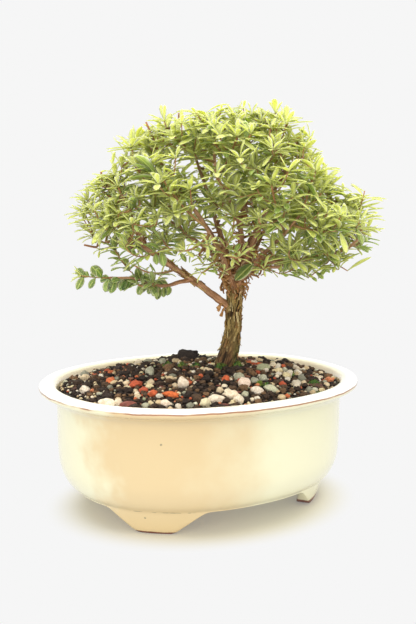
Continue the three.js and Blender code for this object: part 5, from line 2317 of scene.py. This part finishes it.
@dataclass
class Studio:
    """Pale sweep, soft light from above and from the front left, and the camera."""

    eye: Point = (-267.12, -464.35, 185.34)
    ahead: Span = (0.5060, 0.8625)
    dip: float = 0.127
    lens: float = 50.35
    near_clip: float = 0.01
    backdrop: float = 0.9215
    fill: float = 1.42
    floor_albedo: float = 0.6
    floor_glow: float = 0.22
    # Painted bounce light: the cream tint that the paper takes below the pot.
    painted_bounce_tint: Colour = (1.0, 0.92, 0.63)
    painted_bounce_fade: Span = (0.8, 1.3)
    floor_oval: Point = (1 / 0.1, 1 / 0.086, 0.0)
    floor_fade: Span = (0.72, 1.02)
    floor_radii: tuple[float, ...] = (3000.0, 900.0, 500.0, 250.0)
    floor_sides: int = 128
    floor_drop: float = 0.05
    lamps: tuple[tuple[str, Point, float, float], ...] = (
        ("top_light", (0.1, -0.1, 1.5), 1.2, 15.0), ("front_light", (-0.95, -1.05, 0.55), 1.1, 7.0))
    lit_height: float = 0.11

    def world(self) -> None:
        """Even pale surroundings, which give a little more light than they show."""
        world = bpy.data.worlds.new("studio")
        world.use_nodes = True
        nodes = Nodes(world.node_tree)
        seen = nodes.value("LightPath", {}, "Is Camera Ray") * (1 - self.fill)
        light = world.node_tree.nodes["Background"]
        nodes.feed(light, {"Color": (self.backdrop,) * 3, "Strength": seen + self.fill})
        bpy.context.scene.world = world

    def paper(self) -> bpy.types.Material:
        """Pale paper with a painted cream glow of light bounced off the pot below it, that fades into the
        surroundings.

        Returns:
            The material.
        """
        made = bpy.data.materials.new("paper")
        made.use_nodes = True
        nodes = Nodes(made.node_tree)
        paper = made.node_tree.nodes["Principled BSDF"]
        glow = nodes.add("Emission", {"Color": (self.backdrop,) * 3})
        where = nodes.value("Mapping", {"Vector": nodes.space(), "Scale": self.floor_oval})
        off = nodes.measure("LENGTH", where)
        plain = (self.floor_albedo,) * 3
        # Painted bounce light under the pot, fading out to plain paper.
        bounce_colour = tuple(self.floor_albedo * channel for channel in self.painted_bounce_tint)
        nodes.feed(paper, {"Roughness": 1.0, "Specular IOR Level": 0.0,
                           "Base Color": nodes.blend(nodes.ramp(off, *self.painted_bounce_fade), bounce_colour, plain)})
        share = nodes.ramp(off, *self.floor_fade) * (1 - self.floor_glow) + self.floor_glow
        near, far = (Value(nodes, shader.outputs[0]) for shader in (paper, glow))
        fade = nodes.value("MixShader", {0: share, 1: near, 2: far})
        nodes.feed(made.node_tree.nodes["Material Output"], {"Surface": fade})
        return made

    def floor(self) -> None:
        """A pale disc that takes the pot's shadow."""
        sides, rings = self.floor_sides, len(self.floor_radii)
        turns = [2 * math.pi * i / sides for i in range(sides)]
        points = [(r * math.cos(t), r * math.sin(t), -self.floor_drop) for r in self.floor_radii for t in turns]
        points.append((0, 0, -self.floor_drop))
        last = (rings - 1) * sides
        faces = ring_faces(rings, sides)
        faces += [(len(points) - 1, last + i, last + (i + 1) % sides) for i in range(sides)]
        skin = Skin()
        skin.add(np.array(points), faces)
        skin.build("sweep", [self.paper()])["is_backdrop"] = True

    @staticmethod
    def show(thing: bpy.types.Object, view: Vector) -> None:
        """Puts a lamp or a camera into the scene, turned to look along a direction."""
        thing.rotation_euler = view.to_track_quat("-Z", "Y").to_euler()
        bpy.context.scene.collection.objects.link(thing)

    def lamp(self, name: str, place: Point, size: float, power: float) -> None:
        """A square soft light aimed at the tree's middle.

        Args:
            name: Its name.
            place: Its place, in metres.
            size: Its width, in metres.
            power: Its power, in watts.
        """
        light = bpy.data.lights.new(name, "AREA")
        light.shape = "SQUARE"
        light.size = size
        light.energy = power
        thing = bpy.data.objects.new(name, light)
        thing.location = place
        self.show(thing, Vector((0, 0, self.lit_height)) - Vector(place))

    def camera(self) -> None:
        """The camera where the photo was taken from."""
        camera = bpy.data.cameras.new("camera")
        camera.lens = self.lens
        camera.clip_start = self.near_clip
        thing = bpy.data.objects.new("camera", camera)
        thing.location = Vector((np.array(self.eye) + POT_CENTRE) * MM)
        level = math.cos(self.dip)
        self.show(thing, Vector((self.ahead[0] * level, self.ahead[1] * level, -math.sin(self.dip))))
        bpy.context.scene.camera = thing

    def make(self) -> None:
        """Sets everything up."""
        self.world()
        self.floor()
        for lamp in self.lamps:
            self.lamp(*lamp)
        self.camera()
        bpy.context.scene.view_settings.view_transform = "Standard"


def main() -> None:
    """Builds the whole scene."""
    logging.basicConfig(level=logging.INFO, format="%(message)s")
    bed = Bed()
    for piece in (Pot(), Screens(), bed, Wood(), Crown(), Moss(bed)):
        piece.make()
    Studio().make()


if __name__ == "__main__":
    main()
